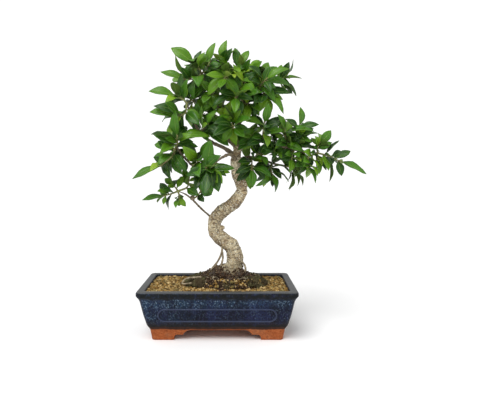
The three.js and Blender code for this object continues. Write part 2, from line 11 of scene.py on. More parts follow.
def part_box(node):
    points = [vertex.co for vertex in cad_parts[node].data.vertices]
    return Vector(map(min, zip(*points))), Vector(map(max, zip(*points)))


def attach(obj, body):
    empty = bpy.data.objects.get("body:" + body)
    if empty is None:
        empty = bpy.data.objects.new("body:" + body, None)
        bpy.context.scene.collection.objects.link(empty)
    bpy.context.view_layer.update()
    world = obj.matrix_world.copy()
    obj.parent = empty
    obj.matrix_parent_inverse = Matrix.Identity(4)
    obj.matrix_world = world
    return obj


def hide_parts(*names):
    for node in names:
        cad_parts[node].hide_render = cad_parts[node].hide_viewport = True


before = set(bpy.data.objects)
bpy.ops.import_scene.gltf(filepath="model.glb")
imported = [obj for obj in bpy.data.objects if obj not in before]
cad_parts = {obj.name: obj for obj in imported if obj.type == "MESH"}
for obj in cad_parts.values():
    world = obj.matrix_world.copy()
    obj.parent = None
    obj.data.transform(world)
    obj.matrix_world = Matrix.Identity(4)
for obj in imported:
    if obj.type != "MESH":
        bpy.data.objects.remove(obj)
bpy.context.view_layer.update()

MM = 0.001

# ---------------------------------------------------------------- sizes and places

pot_low, pot_high = (Vector(corner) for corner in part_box("pot"))
pot_middle = (pot_low + pot_high) / 2
pot_length, pot_width, pot_height = pot_high - pot_low
pot_corner = 9 * MM
lip_height = 7 * MM
lip_overhang = 6 * MM
lip_flare_height = 12 * MM
lip_rounding = 2.5 * MM
rim_width = 10 * MM
wall_taper = 10 * MM
band_height = 7 * MM
band_inset = 4 * MM
foot_height = 17 * MM
foot_inset = 3 * MM
foot_thickness = 14 * MM
foot_on_long_side = 36 * MM
foot_on_short_side = 25 * MM
shoulder_on_long_side = 18 * MM
shoulder_on_short_side = 8 * MM
shoulder_height = 9 * MM
floor_thickness = 10 * MM
drain_radius = 10 * MM
drain_spacing = 120 * MM
panel_margin = 7.5 * MM
panel_end_margin = 18 * MM
bead_radius = 1.3 * MM
field_depth = 0.8 * MM

soil_level = pot_height - 11 * MM
gravel_level = pot_height - 4 * MM
mound_half_length = 74 * MM
mound_half_width = 38 * MM
mound_offset = -8 * MM
# The mound's height in millimetres at shares of the way out to its edge.
mound_profile = [(0, 24), (0.35, 23.6), (0.62, 21.5), (0.82, 17), (0.94, 10), (0.99, 3), (1, -6)]
# How steeply the soil on the roots falls away from the trunk.
soil_line_slope = 0.36
soiled_height = 40 * MM
tree_offset = 22 * MM
tree_foot = Vector((pot_middle.x + tree_offset, pot_middle.y, soil_level))

rim_inner_length = pot_length - 2 * lip_rounding - 2 * rim_width
rim_inner_width = pot_width - 2 * lip_rounding - 2 * rim_width
wall_top = pot_height - lip_height - lip_flare_height
wall_bottom = foot_height + band_height
top_length = pot_length - 2 * lip_overhang
top_width = pot_width - 2 * lip_overhang
bottom_length = top_length - 2 * wall_taper
bottom_width = top_width - 2 * wall_taper
foot_length = bottom_length - 2 * band_inset - 2 * foot_inset
foot_width = bottom_width - 2 * band_inset - 2 * foot_inset

# The tree's curves, in millimetres from the trunk's foot: x, y, z and radius.
trunk_path = [
    (-1, 0, -24, 30), (-1, 0, 2, 28), (0, 0, 26, 21), (5, 0, 38, 16), (7, 0, 51, 14.2), (6, 0, 61, 13.3),
    (2, 0, 72, 13), (-10, -1, 82, 12.8), (-22, -2, 92, 12.5), (-28, -2, 102, 12), (-29.5, -2, 111, 11.3),
    (-26, -1, 123, 12), (-17, 0, 133, 11.6), (-3, 1, 143, 11.2), (10, 1, 153, 11), (17, 0, 163, 10),
    (19, 0, 173, 9), (17, 0, 185, 11), (12, 0, 197, 10.8), (9, 0, 210, 9), (8, 0, 224, 8.6),
    (10, 0, 238, 8), (14, 0, 248, 6.5), (19, 0, 254, 4.5),
]
root_paths = {
    "left": [(-6, -3, 34, 12), (-22, -6, 30, 12), (-38, -8, 22, 10), (-56, -8, 12, 7), (-70, -6, -6, 4)],
    "right": [(8, -4, 34, 9), (24, -8, 24, 7), (38, -10, 17, 6), (52, -8, 4, 4), (58, -6, -8, 3)],
    "front": [(0, -6, 30, 10), (-4, -20, 16, 8), (-6, -31, 4, 5), (-6, -36, -8, 3)],
    "back": [(0, 6, 32, 10), (-6, 22, 22, 8), (-10, 34, 8, 6), (-12, 39, -8, 4)],
    "aerial": [
        (-12, -4, 80, 3), (-15, -6, 73, 2.2), (-16, -8, 64, 1.9), (-22, -10, 50, 1.8),
        (-34, -10, 34, 2.2), (-46, -9, 17, 2.6),
    ],
    "aerial_branch": [(-16, -7, 68, 1.8), (-14, -9, 56, 1.7), (-16, -9, 45, 1.8), (-22, -8, 24, 2.2)],
    "right_strand": [(12, -8, 52, 2.2), (22, -12, 45, 1.8), (25, -13, 36, 1.8), (21, -13, 26, 2.4)],
    "loose_root": [
        (-42, -9, 20, 3), (-58, -18, 23, 1.5), (-78, -14, 19, 1.3), (-83, -20, 13, 1.3), (-66, -26, 15, 1.3),
    ],
    "stub": [(-22, -3, 104, 6), (-15, -6, 106, 4.5), (-11, -7, 107, 3)],
}
# Rounded swellings on the trunk: their places and sizes.
burls = [
    ((-29, -5, 104), (8, 8, 8)), ((8, -6, 50), (10, 9, 9)), ((17, -4, 186), (6, 6, 7)), ((12, -3, 226), (6, 5, 6)),
    ((-14, -14, 30), (12, 12, 10)), ((14, -12, 28), (10, 12, 9)),
]
thin_roots = ("aerial", "aerial_branch", "right_strand", "loose_root")
branch_paths = {
    "low_left": [
        (-25, -2, 112, 5), (-35, -3, 124, 4.4), (-52, -8, 140, 3.8), (-66, -14, 155, 3.2),
        (-78, -20, 165, 2.6), (-90, -24, 170, 2),
    ],
    "left": [
        (-66, -14, 158, 3), (-59, -18, 184, 3), (-56, -22, 198, 2.8), (-63, -26, 211, 2.6),
        (-71, -28, 219, 2.4), (-82, -30, 231, 2.1), (-92, -32, 246, 1.8),
    ],
    "upper_left": [
        (9, 0, 230, 5), (-12, -10, 244, 4), (-34, -18, 254, 3.5), (-52, -20, 268, 3),
        (-64, -20, 291, 2.6), (-75, -22, 319, 1.9),
    ],
    "crown_left": [
        (12, 2, 244, 5.5), (-7, 4, 264, 4.6), (-15, 6, 287, 4.2), (-19, 8, 312, 3.8),
        (-30, 8, 338, 3.2), (-42, 6, 358, 2.6), (-52, 4, 376, 2),
    ],
    "crown_centre": [
        (15, 0, 248, 5.5), (11, -6, 270, 4.8), (16, -8, 294, 4.2), (21, -6, 319, 3.8),
        (19, -4, 342, 3.2), (10, -6, 362, 2.6), (4, -8, 380, 2),
    ],
    "crown_right": [
        (21, -6, 317, 3.6), (37, 2, 332, 3.2), (52, 8, 346, 2.8), (68, 12, 358, 2.4), (82, 14, 366, 1.9),
    ],
    "right": [
        (17, 0, 251, 5), (40, 2, 258, 4.6), (61, 0, 255, 4.1), (85, -4, 248, 3.5),
        (109, -8, 242, 3), (129, -10, 237, 2.5), (150, -10, 235, 1.9),
    ],
    "lower_right": [
        (10, 0, 222, 4.2), (34, 12, 229, 3.5), (56, 22, 225, 3), (78, 28, 218, 2.5), (100, 30, 214, 1.9),
    ],
    "back": [(11, 2, 238, 4.2), (9, 25, 250, 3.4), (2, 50, 263, 2.7), (-10, 72, 276, 1.9)],
    "front": [(9, -2, 224, 4), (-2, -25, 232, 3.2), (-15, -40, 226, 2.5), (-28, -52, 216, 1.9)],
    "crown_back": [(-19, 8, 310, 3.4), (-13, 30, 332, 3), (-2, 48, 352, 2.4), (8, 60, 368, 1.8)],
}

# Each shoot: its branch, its end, the tip of its end leaf, how many large leaves it bears and their size.
shoot_plan = {
    "low_left_outer": ("low_left", (-110, -30, 163), (-148, -36, 154), 5, 0.66),
    "low_left_middle": ("low_left", (-98, -22, 180), (-114, -16, 192), 4, 0.55),
    "low_left_upper": ("low_left", (-72, -14, 190), (-84, -8, 208), 5, 0.6),
    "low_left_inner": ("low_left", (-52, -18, 170), (-46, -28, 192), 4, 0.55),
    "left_outer": ("left", (-114, -40, 214), (-161, -46, 189), 5, 0.9),
    "left_lower": ("left", (-100, -18, 240), (-134, -6, 252), 5, 0.9),
    "left_upper": ("left", (-88, -44, 258), (-92, -52, 302), 5, 1.1),
    "left_inner": ("left", (-50, -38, 226), (-34, -48, 254), 5, 0.95),
    "left_hanging": ("left", (-36, -42, 206), (-33, -58, 168), 5, 0.95),
    "upper_left_outer": ("upper_left", (-92, -34, 294), (-134, -42, 304), 5, 0.95),
    "upper_left_tip": ("upper_left", (-92, -24, 330), (-138, -30, 340), 5, 0.95),
    "upper_left_inner": ("upper_left", (-60, 14, 318), (-52, 24, 290), 5, 1),
    "upper_left_low": ("upper_left", (-42, -24, 280), (-26, -36, 308), 5, 1),
    "crown_left_outer": ("crown_left", (-76, -10, 362), (-122, -8, 374), 5, 1),
    "crown_left_tip": ("crown_left", (-62, 2, 390), (-105, 0, 421), 5, 0.95),
    "crown_left_top": ("crown_left", (-38, -6, 390), (-30, -8, 428), 5, 0.9),
    "crown_left_back": ("crown_left", (-52, 30, 376), (-84, 50, 390), 5, 1),
    "crown_front": ("crown_centre", (-10, -38, 358), (-18, -66, 334), 5, 1),
    "crown_top_left": ("crown_centre", (-16, -12, 390), (-9, -14, 430), 5, 0.9),
    "crown_top": ("crown_centre", (16, -4, 386), (31, 0, 417), 5, 0.9),
    "crown_low_front": ("crown_centre", (8, -40, 326), (6, -62, 296), 5, 1),
    "crown_hanging": ("crown_centre", (4, -38, 276), (22, -54, 258), 5, 1),
    "crown_right_front": ("crown_right", (58, -22, 358), (97, -32, 378), 5, 1),
    "crown_right_top": ("crown_right", (52, 10, 374), (68, 12, 398), 5, 0.85),
    "crown_right_tip": ("crown_right", (90, 16, 368), (127, 18, 370), 5, 0.9),
    "crown_right_low": ("crown_right", (62, -18, 334), (92, -26, 306), 5, 1),
    "right_inner": ("right", (56, -26, 284), (62, -40, 316), 5, 1),
    "right_upper": ("right", (92, -18, 270), (80, -28, 300), 5, 0.95),
    "right_shoot": ("right", (117, -14, 280), (119, -14, 314), 5, 0.8),
    "right_outer": ("right", (152, -12, 252), (173, -14, 274), 5, 0.8),
    "right_tip": ("right", (184, -16, 222), (229, -20, 197), 5, 0.85),
    "right_low": ("right", (130, -20, 214), (144, -26, 184), 5, 0.85),
    "right_back": ("right", (112, 22, 256), (138, 46, 252), 5, 0.95),
    "lower_right_tip": ("lower_right", (114, 30, 206), (136, 36, 182), 5, 0.9),
    "lower_right_middle": ("lower_right", (72, 6, 200), (78, -8, 178), 5, 0.95),
    "lower_right_inner": ("lower_right", (36, -12, 208), (37, -26, 177), 5, 0.85),
    "back_tip": ("back", (-20, 86, 284), (-26, 128, 276), 5, 1),
    "back_right": ("back", (34, 62, 268), (70, 86, 262), 5, 1),
    "front_tip": ("front", (-38, -60, 208), (-31, -72, 252), 5, 1),
    "crown_back_tip": ("crown_back", (12, 70, 380), (30, 104, 388), 5, 1),
    "crown_back_left": ("crown_back", (-36, 58, 340), (-60, 88, 334), 5, 1),
}
# Twigs with small leaves that fill the crown: the shoot they belong to, then as above.
side_twigs = [
    ("lower_right_inner", "lower_right", (52, -4, 232), (60, -22, 214), 7, 0.62),
    ("lower_right_middle", "lower_right", (88, 14, 236), (100, -2, 222), 7, 0.6),
    ("lower_right_middle", "lower_right", (64, 18, 206), (70, 4, 190), 6, 0.6),
    ("right_low", "right", (104, -16, 226), (100, -26, 204), 7, 0.6),
    ("right_inner", "right", (74, -12, 240), (84, -30, 226), 7, 0.6),
    ("right_upper", "right", (110, -10, 262), (124, -20, 276), 7, 0.6),
    ("right_back", "right", (84, 14, 272), (92, 2, 290), 7, 0.65),
    ("right_inner", "right", (36, -14, 262), (44, -30, 272), 7, 0.65),
    ("right_low", "right", (146, -18, 222), (150, -24, 204), 6, 0.55),
    ("crown_front", "crown_centre", (22, -28, 352), (34, -44, 340), 7, 0.7),
    ("crown_top", "crown_centre", (34, -12, 372), (48, -24, 384), 7, 0.7),
    ("crown_left_back", "crown_left", (-34, -16, 336), (-44, -32, 322), 7, 0.7),
    ("upper_left_inner", "upper_left", (-50, -8, 300), (-40, -24, 312), 6, 0.7),
    ("crown_low_front", "crown_centre", (30, -22, 318), (44, -36, 306), 7, 0.7),
    ("crown_hanging", "crown_centre", (-2, -26, 300), (-14, -40, 290), 6, 0.65),
    ("left_lower", "left", (-84, -26, 224), (-92, -38, 208), 6, 0.6),
    ("low_left_middle", "low_left", (-88, -28, 158), (-92, -40, 146), 5, 0.45),
]
# Leaves and shoots, in millimetres.
leaf_length = 48
leaf_width_share = 0.48
# A leaf's half width at places along it, both as shares of the whole.
leaf_outline = [
    (0, 0.05), (0.1, 0.1), (0.24, 0.62), (0.4, 0.97), (0.55, 1.0), (0.7, 0.86), (0.86, 0.5), (0.95, 0.17), (1, 0.02),
]
leaf_arch = 0.22
# How far each leaf pattern is folded on its midrib, curled down, twisted and waved.
leaf_bends = [
    (0.34, 0.25, 0.12, 0.10), (0.2, 0.55, -0.15, 0.16), (0.5, 0.0, 0.22, 0.08),
    (0.12, 0.8, 0.0, 0.2), (0.28, -0.2, -0.25, 0.12), (0.4, 0.4, 0.3, 0.06),
]
leaf_room = 9
shoot_radius = 1.5
golden_angle = 2.39996
branch_samples = 40
stem_samples = 6
tip_preference = 1.25
attempts = 12
crown_middle = np.array([10.0, 25.0])
# Places on a leaf, along and across it, that keep clear of other leaves.
blade_spread = [(0.35, -0.8), (0.35, 0.8), (0.5, 0), (0.62, -0.85), (0.62, 0.85), (0.8, 0), (1, 0)]
small_leaves_per_shoot = 8
small_leaf_size = 0.74
leaf_slimness = 0.84
small_leaf_length = 31
small_leaf_hang = 0.1
small_leaf_forward = 0.9
round_leaf_breadth = 1.28
# Shoots that bear fewer small leaves than the others.
thin_shoots = {
    "left_hanging": 0, "low_left_outer": 3, "low_left_middle": 3, "low_left_upper": 3, "low_left_inner": 2,
}
branch_slimness = 0.8
low_branch_slimness = 0.45
# Where the first leaf can stand on a shoot, how much of it leaves take up, and the first one's setback.
own_leaf_spread = (1, 0.7, 0.35)
small_leaf_spread = (0.98, 0.8, 0.2)
side_twig_spread = (0.97, 0.75, 0.2)


# ---------------------------------------------------------------- modelling helpers

def leave_edit_mode():
    if bpy.context.object and bpy.context.object.mode != "OBJECT":
        bpy.ops.object.mode_set(mode="OBJECT")


def deselect():
    leave_edit_mode()
    bpy.ops.object.select_all(action="DESELECT")


def pick(*objects):
    deselect()
    for thing in objects:
        thing.select_set(True)
    bpy.context.view_layer.objects.active = objects[0]


def new_object(name, data):
    thing = bpy.data.objects.new(name, data)
    bpy.context.collection.objects.link(thing)
    return thing


def settle(thing):
    """Puts the object's place, turn and size into its mesh."""
    pick(thing)
    bpy.ops.object.transform_apply(location=True, rotation=True, scale=True)
    return thing


def edit_all(thing, how="FACE"):
    """Opens a mesh in edit mode with everything selected."""
    pick(thing)
    bpy.ops.object.mode_set(mode="EDIT")
    bpy.ops.mesh.select_mode(type=how)
    bpy.ops.mesh.select_all(action="SELECT")


def face_outward():
    """Turns the faces of the mesh in edit mode outward, and leaves edit mode."""
    bpy.ops.mesh.select_all(action="SELECT")
    bpy.ops.mesh.normals_make_consistent(inside=False)
    leave_edit_mode()


def select_edges(thing, test):
    """Selects the edges that pass the test, in edit mode."""
    bpy.ops.mesh.select_all(action="DESELECT")
    shape = bmesh.from_edit_mesh(thing.data)
    for edge in shape.edges:
        if test(edge):
            edge.select_set(True)
    shape.select_flush_mode()
    bmesh.update_edit_mesh(thing.data)


def apply_modifier(thing, kind, **settings):
    pick(thing)
    modifier = thing.modifiers.new(kind.title(), kind)
    for key, value in settings.items():
        setattr(modifier, key, value)
    bpy.ops.object.modifier_apply(modifier=modifier.name)


def cut(thing, cutter):
    """Cuts one solid out of another; the cutter itself goes."""
    apply_modifier(thing, "BOOLEAN", operation="DIFFERENCE", object=cutter, solver="EXACT")
    bpy.data.objects.remove(cutter)


def join(pieces):
    """Makes one mesh of several pieces, in the first one's place."""
    pick(*pieces)
    bpy.ops.object.join()
    return pieces[0]


def tube(name, places, bevel, resolution, radii=None):
    """A round tube through places: a closed ring, or capped and with a radius of its own at each place."""
    curve = bpy.data.curves.new(name, "CURVE")
    curve.dimensions = "3D"
    curve.bevel_depth = bevel
    curve.bevel_resolution = resolution
    curve.use_fill_caps = radii is not None
    spline = curve.splines.new("POLY")
    spline.use_cyclic_u = radii is None
    spline.points.add(len(places) - 1)
    for point, place in zip(spline.points, places):
        point.co = (*place, 1)
    for point, radius in zip(spline.points, radii or ()):
        point.radius = radius
    pick(new_object(name, curve))
    bpy.ops.object.convert(target="MESH")
    return bpy.context.object


def set_attribute(piece, name, values):
    """Stores one value on each vertex, or the same value on all of them."""
    layer = piece.data.attributes.new(name, "FLOAT", "POINT")
    every = np.broadcast_to(np.asarray(values, dtype=np.float32), len(piece.data.vertices))
    layer.data.foreach_set("value", np.ascontiguousarray(every))


def vertex_places(thing):
    places = np.zeros(len(thing.data.vertices) * 3, np.float32)
    thing.data.vertices.foreach_get("co", places)
    return places.reshape(-1, 3).astype(float)


def bumps(thing, *layers, middle=0.5):
    """Pushes the surface in and out by cloudy patterns, each with its size and its strength."""
    for size, strength in layers:
        pattern = bpy.data.textures.new("bumps", "CLOUDS")
        pattern.noise_scale = size
        pattern.noise_depth = 2
        push = {"strength": strength, "mid_level": middle, "texture_coords": "LOCAL"}
        apply_modifier(thing, "DISPLACE", texture=pattern, **push)


def smooth_by_angle(thing, angle):
    pick(thing)
    bpy.ops.object.shade_smooth_by_angle(angle=math.radians(angle))


def finish_piece(piece, name, materials=None, replaces=()):
    leave_edit_mode()
    piece.name = name
    piece.data.name = name
    if materials:
        piece.data.materials.clear()
        for material in materials:
            piece.data.materials.append(material)
    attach(piece, "root")
    if replaces:
        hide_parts(*replaces)


def repeatable(seed):
    """The same numbers between 0 and 1 in the same order on every run."""
    multiplier, modulus = 16807, 2147483647
    state = seed
    while True:
        state = (state * multiplier) % modulus
        yield state / modulus


def drawn(number, count):
    return [next(number) for _ in range(count)]


# ---------------------------------------------------------------- shader helpers

class Field:
    """A value or colour that changes over the surface, and that sums and products can be made of."""

    def __init__(self, shader, socket):
        self.shader = shader
        self.socket = socket

    def __add__(self, other):
        return self.shader.math("ADD", self, other)

    def __mul__(self, other):
        return self.shader.math("MULTIPLY", self, other)

    def __sub__(self, other):
        return self.shader.math("SUBTRACT", self, other)

    def __rsub__(self, other):
        return self.shader.math("SUBTRACT", other, self)

    def __truediv__(self, other):
        return self.shader.math("DIVIDE", self, other)

    def __abs__(self):
        return self.shader.math("ABSOLUTE", self)

    def sine(self):
        return self.shader.math("SINE", self)

    def or_more(self, other):
        return self.shader.math("MAXIMUM", self, other)

    def mask(self, start, end):
        """0 up to the start and 1 from the end on, or the other way round where the end is lower."""
        inputs = {"Value": self, "From Min": start, "From Max": end}
        return self.shader.add("MapRange", "Result", inputs, clamp=True)


class Shader:
    """A material with a Principled BSDF, and short ways to add and link nodes."""

    def __init__(self, name, **constants):
        self.material = bpy.data.materials.new(name)
        self.material.use_nodes = True
        self.nodes = self.material.node_tree.nodes
        self.skin = self.nodes["Principled BSDF"]
        for socket, value in constants.items():
            self.put(value, self.skin.inputs[socket.replace("_", " ")])

    def put(self, value, socket):
        if isinstance(value, Field):
            self.material.node_tree.links.new(value.socket, socket)
        elif isinstance(value, tuple) and socket.type == "RGBA":
            socket.default_value = (*value, 1)
        else:
            socket.default_value = value

    def add(self, kind, output, inputs, **settings):
        """Adds a node, fills its inputs and gives back one of its outputs."""
        node = self.nodes.new("ShaderNode" + kind)
        for key, value in settings.items():
            setattr(node, key, value)
        for socket, value in inputs.items():
            self.put(value, node.inputs[socket])
        return Field(self, node.outputs[output])

    def math(self, operation, first, second=0.0):
        return self.add("Math", 0, {0: first, 1: second}, operation=operation)

    def place(self, scale=(1, 1, 1)):
        """The piece's own coordinates in metres, stretched."""
        here = self.add("TexCoord", "Object", {})
        return self.add("Mapping", "Vector", {"Vector": here, "Scale": scale})

    def split(self, vector):
        return [self.add("SeparateXYZ", axis, {"Vector": vector}) for axis in "XYZ"]

    def coordinates(self):
        return self.split(self.add("TexCoord", "Object", {}))

    def noise(self, place, scale, detail=4, roughness=0.55, distortion=0.0):
        inputs = {"Vector": place, "Scale": scale, "Detail": detail, "Roughness": roughness}
        return self.add("TexNoise", "Fac", {**inputs, "Distortion": distortion})

    def blotches(self, place, scale, start, end, detail=4, roughness=0.55, distortion=0.0):
        """Soft patches, as a mask."""
        return self.noise(place, scale, detail, roughness, distortion).mask(start, end)

    def specks(self, place, scale, size):
        """Small round specks, as a mask."""
        inputs = {"Place": place, "Scale": scale, "Size": size}
        return self.add("Group", "Mask", inputs, node_tree=speck_group)

    def ramp(self, fac, *stops):
        node = self.nodes.new("ShaderNodeValToRGB")
        self.put(fac, node.inputs["Fac"])
        elements = node.color_ramp.elements
        while len(elements) < len(stops):
            elements.new(0.5)
        for element, (position, *color) in zip(elements, stops):
            element.position = position
            element.color = (*(color * 3 if len(color) == 1 else color), 1)
        return Field(self, node.outputs["Color"])

    def mix(self, fac, first, second):
        return self.add("Mix", 2, {0: fac, 6: first, 7: second}, data_type="RGBA")

    def layers(self, color, *layers):
        """Lays colours over a colour, one after another, each with the mask that it shows through."""
        for fac, layer in layers:
            color = self.mix(fac, color, layer)
        return color

    def attribute(self, name):
        return self.add("Attribute", "Fac", {}, attribute_name=name)

    def bumps(self, *layers):
        """Bump upon bump: each is a height, a distance in metres and a strength."""
        below = {}
        for height, distance, strength in layers:
            inputs = {"Height": height, "Distance": distance, "Strength": strength, **below}
            below = {"Normal": self.add("Bump", "Normal", inputs)}
        self.put(below["Normal"], self.skin.inputs["Normal"])

    def wear(self, **fields):
        """Links colours and values to the skin, and gives back the material."""
        for socket, value in fields.items():
            self.put(value, self.skin.inputs[socket.replace("_", " ")])
        return self.material


# ---------------------------------------------------------------- materials

def make_speck_group():
    """Small round specks scattered over a place, as a mask."""
    group = bpy.data.node_groups.new("specks", "ShaderNodeTree")
    for name, kind, direction in (
        ("Place", "Vector", "INPUT"), ("Scale", "Float", "INPUT"),
        ("Size", "Float", "INPUT"), ("Mask", "Float", "OUTPUT"),
    ):
        group.interface.new_socket(name=name, in_out=direction, socket_type="NodeSocket" + kind)
    start, end, cells, soft, fade = (
        group.nodes.new(kind) for kind in (
            "NodeGroupInput", "NodeGroupOutput", "ShaderNodeTexVoronoi", "ShaderNodeMath", "ShaderNodeMapRange",
        )
    )
    soft.operation = "MULTIPLY"
    soft.inputs[1].default_value = 1.25
    fade.inputs["To Min"].default_value = 1
    fade.inputs["To Max"].default_value = 0
    for source, output, target, socket in (
        (start, "Place", cells, "Vector"), (start, "Scale", cells, "Scale"), (start, "Size", soft, 0),
        (cells, "Distance", fade, "Value"), (start, "Size", fade, "From Min"), (soft, 0, fade, "From Max"),
        (fade, "Result", end, "Mask"),
    ):
        group.links.new(source.outputs[output], target.inputs[socket])
    return group


speck_group = make_speck_group()


def glazed_clay():
    """Blue running glaze over brown clay, dark and thin on the lip and corners, with bare feet."""
    s = Shader("blue_glaze_on_brown_clay", Coat_Roughness=0.06, Coat_IOR=1.45, Specular_IOR_Level=0.1)
    here = s.place()
    running = s.place((1, 1, 0.35))
    side, depth, height = s.coordinates()
    level = height + (s.noise(here, 80, 3) - 0.5) * 0.005

    left_end = (side + s.noise(here, 30, 3) * 0.06).mask(pot_middle.x + 0.03, pot_middle.x - 0.1)
    under_lip = height.mask(wall_top - 12 * MM, wall_top + 2 * MM) * height.mask(wall_top + 11 * MM, wall_top + 5 * MM)
    teal = (left_end * 0.45 + under_lip * 0.5) * s.blotches(running, 90, 0.32, 0.6, 4, 0.6)
    pale_specks = s.specks(running, 600, 0.32) * s.blotches(here, 70, 0.3, 0.62) * (teal * 1.1 + 0.24)
    violet = s.specks(here, 300, 0.28) * s.blotches(here, 55, 0.5, 0.66, 3)
    near_foot = level.mask(wall_bottom + 14 * MM, wall_bottom + 3 * MM) * s.blotches(here, 110, 0.3, 0.55)
    blue = s.layers(
        s.ramp(
            s.noise(running, 42, 5, 0.62, 0.5), (0.3, 0.001, 0.0015, 0.004), (0.45, 0.004, 0.006, 0.021),
            (0.58, 0.009, 0.013, 0.046), (0.75, 0.018, 0.030, 0.080),
        ),
        (teal, (0.013, 0.040, 0.078)), (pale_specks, (0.15, 0.225, 0.30)), (violet * 0.5, (0.045, 0.035, 0.10)),
        (s.specks(here, 420, 0.32) * 0.9, (0.001, 0.001, 0.003)), (near_foot * 0.85, (0.013, 0.008, 0.007)),
    )

    lip_face = level.mask(pot_height - 13 * MM, pot_height - 9.5 * MM)
    lip_face = lip_face * level.mask(pot_height - 0.5 * MM, pot_height - 2.2 * MM)
    lip_top = height.mask(pot_height - 1.6 * MM, pot_height - 0.4 * MM)
    slant = wall_taper / (wall_top - wall_bottom)
    ends = []
    for place, middle, length in ((side, pot_middle.x, bottom_length), (depth, pot_middle.y, bottom_width)):
        end = length / 2 - slant * wall_bottom
        ends.append((abs(place - middle) - height * slant).mask(end - 5 * MM, end - 1 * MM))
    foot_line = level.mask(wall_bottom + 4 * MM, wall_bottom + 0.5 * MM)
    worn = (lip_face * 0.95).or_more((ends[0] * ends[1] * 0.8).or_more(foot_line)) * s.blotches(here, 150, 0.25, 0.5)
    brown = s.ramp(
        s.noise(here, 190), (0.3, 0.002, 0.003, 0.003), (0.62, 0.008, 0.009, 0.008), (0.8, 0.030, 0.022, 0.016),
    )
    # The pale grey laid over the rim's flat top is a painted reflection of the bright light above it.
    glaze = s.layers(
        blue, (worn, brown), (lip_top * 0.85, (0.078, 0.080, 0.076)),
        (s.attribute("edge") * 0.62, (0.045, 0.058, 0.105)),
    )

    grain = s.noise(here, 300, 5, 0.65)
    clay = s.layers(
        s.ramp(grain, (0.25, 0.17, 0.042, 0.014), (0.5, 0.32, 0.086, 0.027), (0.75, 0.43, 0.14, 0.048)),
        (s.specks(here, 330, 0.2) * 0.6, (0.08, 0.028, 0.014)),
        (s.blotches(here, 45, 0.5, 0.75) * 0.25, (0.3, 0.2, 0.12)),
    )
    glazed = level.mask(wall_bottom - 1.6 * MM, wall_bottom - 0.4 * MM)
    color = s.layers(
        clay,
        (
            level.mask(wall_bottom - 6.4 * MM, wall_bottom - 5.0 * MM),
            s.ramp(grain, (0.3, 0.022, 0.012, 0.010), (0.7, 0.06, 0.03, 0.022)),
        ),
        (glazed, glaze),
    )
    thickness = glazed * (1.0 - worn * 0.35)
    s.bumps(
        (s.noise(running, 60, 3), 0.0012, 0.4), (s.noise(here, 480, 4, 0.6), 0.0005, 0.5),
        (grain * (1.0 - glazed), 0.0006, 0.8),
    )
    rough = (0.85 - thickness * 0.5) + s.noise(here, 120, 3) * 0.08
    return s.wear(Base_Color=color, Roughness=rough, Coat_Weight=thickness * 0.1)


def plastic():
    s = Shader("dark_screen_plastic")
    here = s.place()
    color = s.ramp(s.noise(here, 90), (0.3, 0.012), (0.7, 0.035))
    color = s.mix(s.blotches(here, 240, 0.55, 0.7), color, (0.06, 0.045, 0.03))
    s.bumps((s.noise(here, 700, 3), 0.0002, 0.5))
    return s.wear(Base_Color=color, Roughness=s.noise(here, 60) * 0.3 + 0.4)


def wet_earth():
    """Dark root soil with pale bits of grit and a little green in it."""
    s = Shader("dark_root_soil", Roughness=0.95, Specular_IOR_Level=0.15)
    here = s.place()
    grain = s.noise(here, 260, 6, 0.7)
    color = s.layers(
        s.ramp(grain, (0.3, 0.007, 0.004, 0.0025), (0.52, 0.034, 0.019, 0.012), (0.74, 0.11, 0.068, 0.042)),
        (s.specks(here, 300, 0.24) * 0.8, (0.36, 0.27, 0.16)),
        (s.blotches(here, 42, 0.56, 0.7, 3) * 0.6, (0.05, 0.050, 0.020)),
        (s.attribute("tone") * 0.5, (0.18, 0.105, 0.06)),
    )
    cells = s.add("TexVoronoi", "Distance", {"Vector": here, "Scale": 420})
    s.bumps((grain + cells, 0.0012, 0.9))
    return s.wear(Base_Color=color)


def gravel_grains():
    """Tan, ochre and grey grains, each with its own tone."""
    s = Shader("fired_clay_gravel", Specular_IOR_Level=0.15)
    here = s.place()
    speckled = s.noise(here, 900, 5, 0.7)
    color = s.layers(
        s.ramp(
            s.attribute("tone"), (0.0, 0.026, 0.014, 0.003), (0.14, 0.095, 0.048, 0.010),
            (0.34, 0.23, 0.125, 0.026), (0.58, 0.41, 0.245, 0.064), (0.8, 0.72, 0.53, 0.25),
            (0.92, 0.29, 0.235, 0.085), (1.0, 0.095, 0.08, 0.027),
        ),
        (speckled.mask(0.42, 0.72), (0.10, 0.06, 0.018)),
        (s.blotches(here, 500, 0.55, 0.75) * 0.45, (0.62, 0.48, 0.26)),
        (s.blotches(here, 36, 0.5, 0.66, 3) * 0.6, (0.12, 0.088, 0.03)),
    )
    s.bumps((speckled, 0.0005, 0.9))
    return s.wear(Base_Color=color, Roughness=speckled * 0.2 + 0.72)


def moss_skin():
    """Dark olive moss with greyer tufts and bits of soil in it."""
    s = Shader("grey_green_moss", Roughness=0.95, Specular_IOR_Level=0.12)
    here = s.place()
    grain = s.noise(here, 480, 5, 0.7)
    color = s.ramp(
        grain * 0.6 + s.attribute("tone") * 0.5, (0.2, 0.016, 0.016, 0.007), (0.42, 0.078, 0.073, 0.032),
        (0.65, 0.20, 0.18, 0.092), (0.95, 0.42, 0.37, 0.24),
    )
    color = s.mix(s.blotches(here, 90, 0.42, 0.56) * 0.72, color, (0.036, 0.021, 0.013))
    s.bumps((grain, 0.001, 0.9))
    return s.wear(Base_Color=color)


def ring_creases(s, here):
    """Creases that run round the wood, broken up here and there, and finer ones between them."""
    along = s.attribute("along")
    wobble = s.noise(here, 110, 3) * 9.0
    creases = (along * 1050.0 + wobble).sine().mask(0.7, 1.0) * s.blotches(here, 65, 0.4, 0.58, 2)
    return creases, (along * 3100.0 + wobble * 1.6).sine()


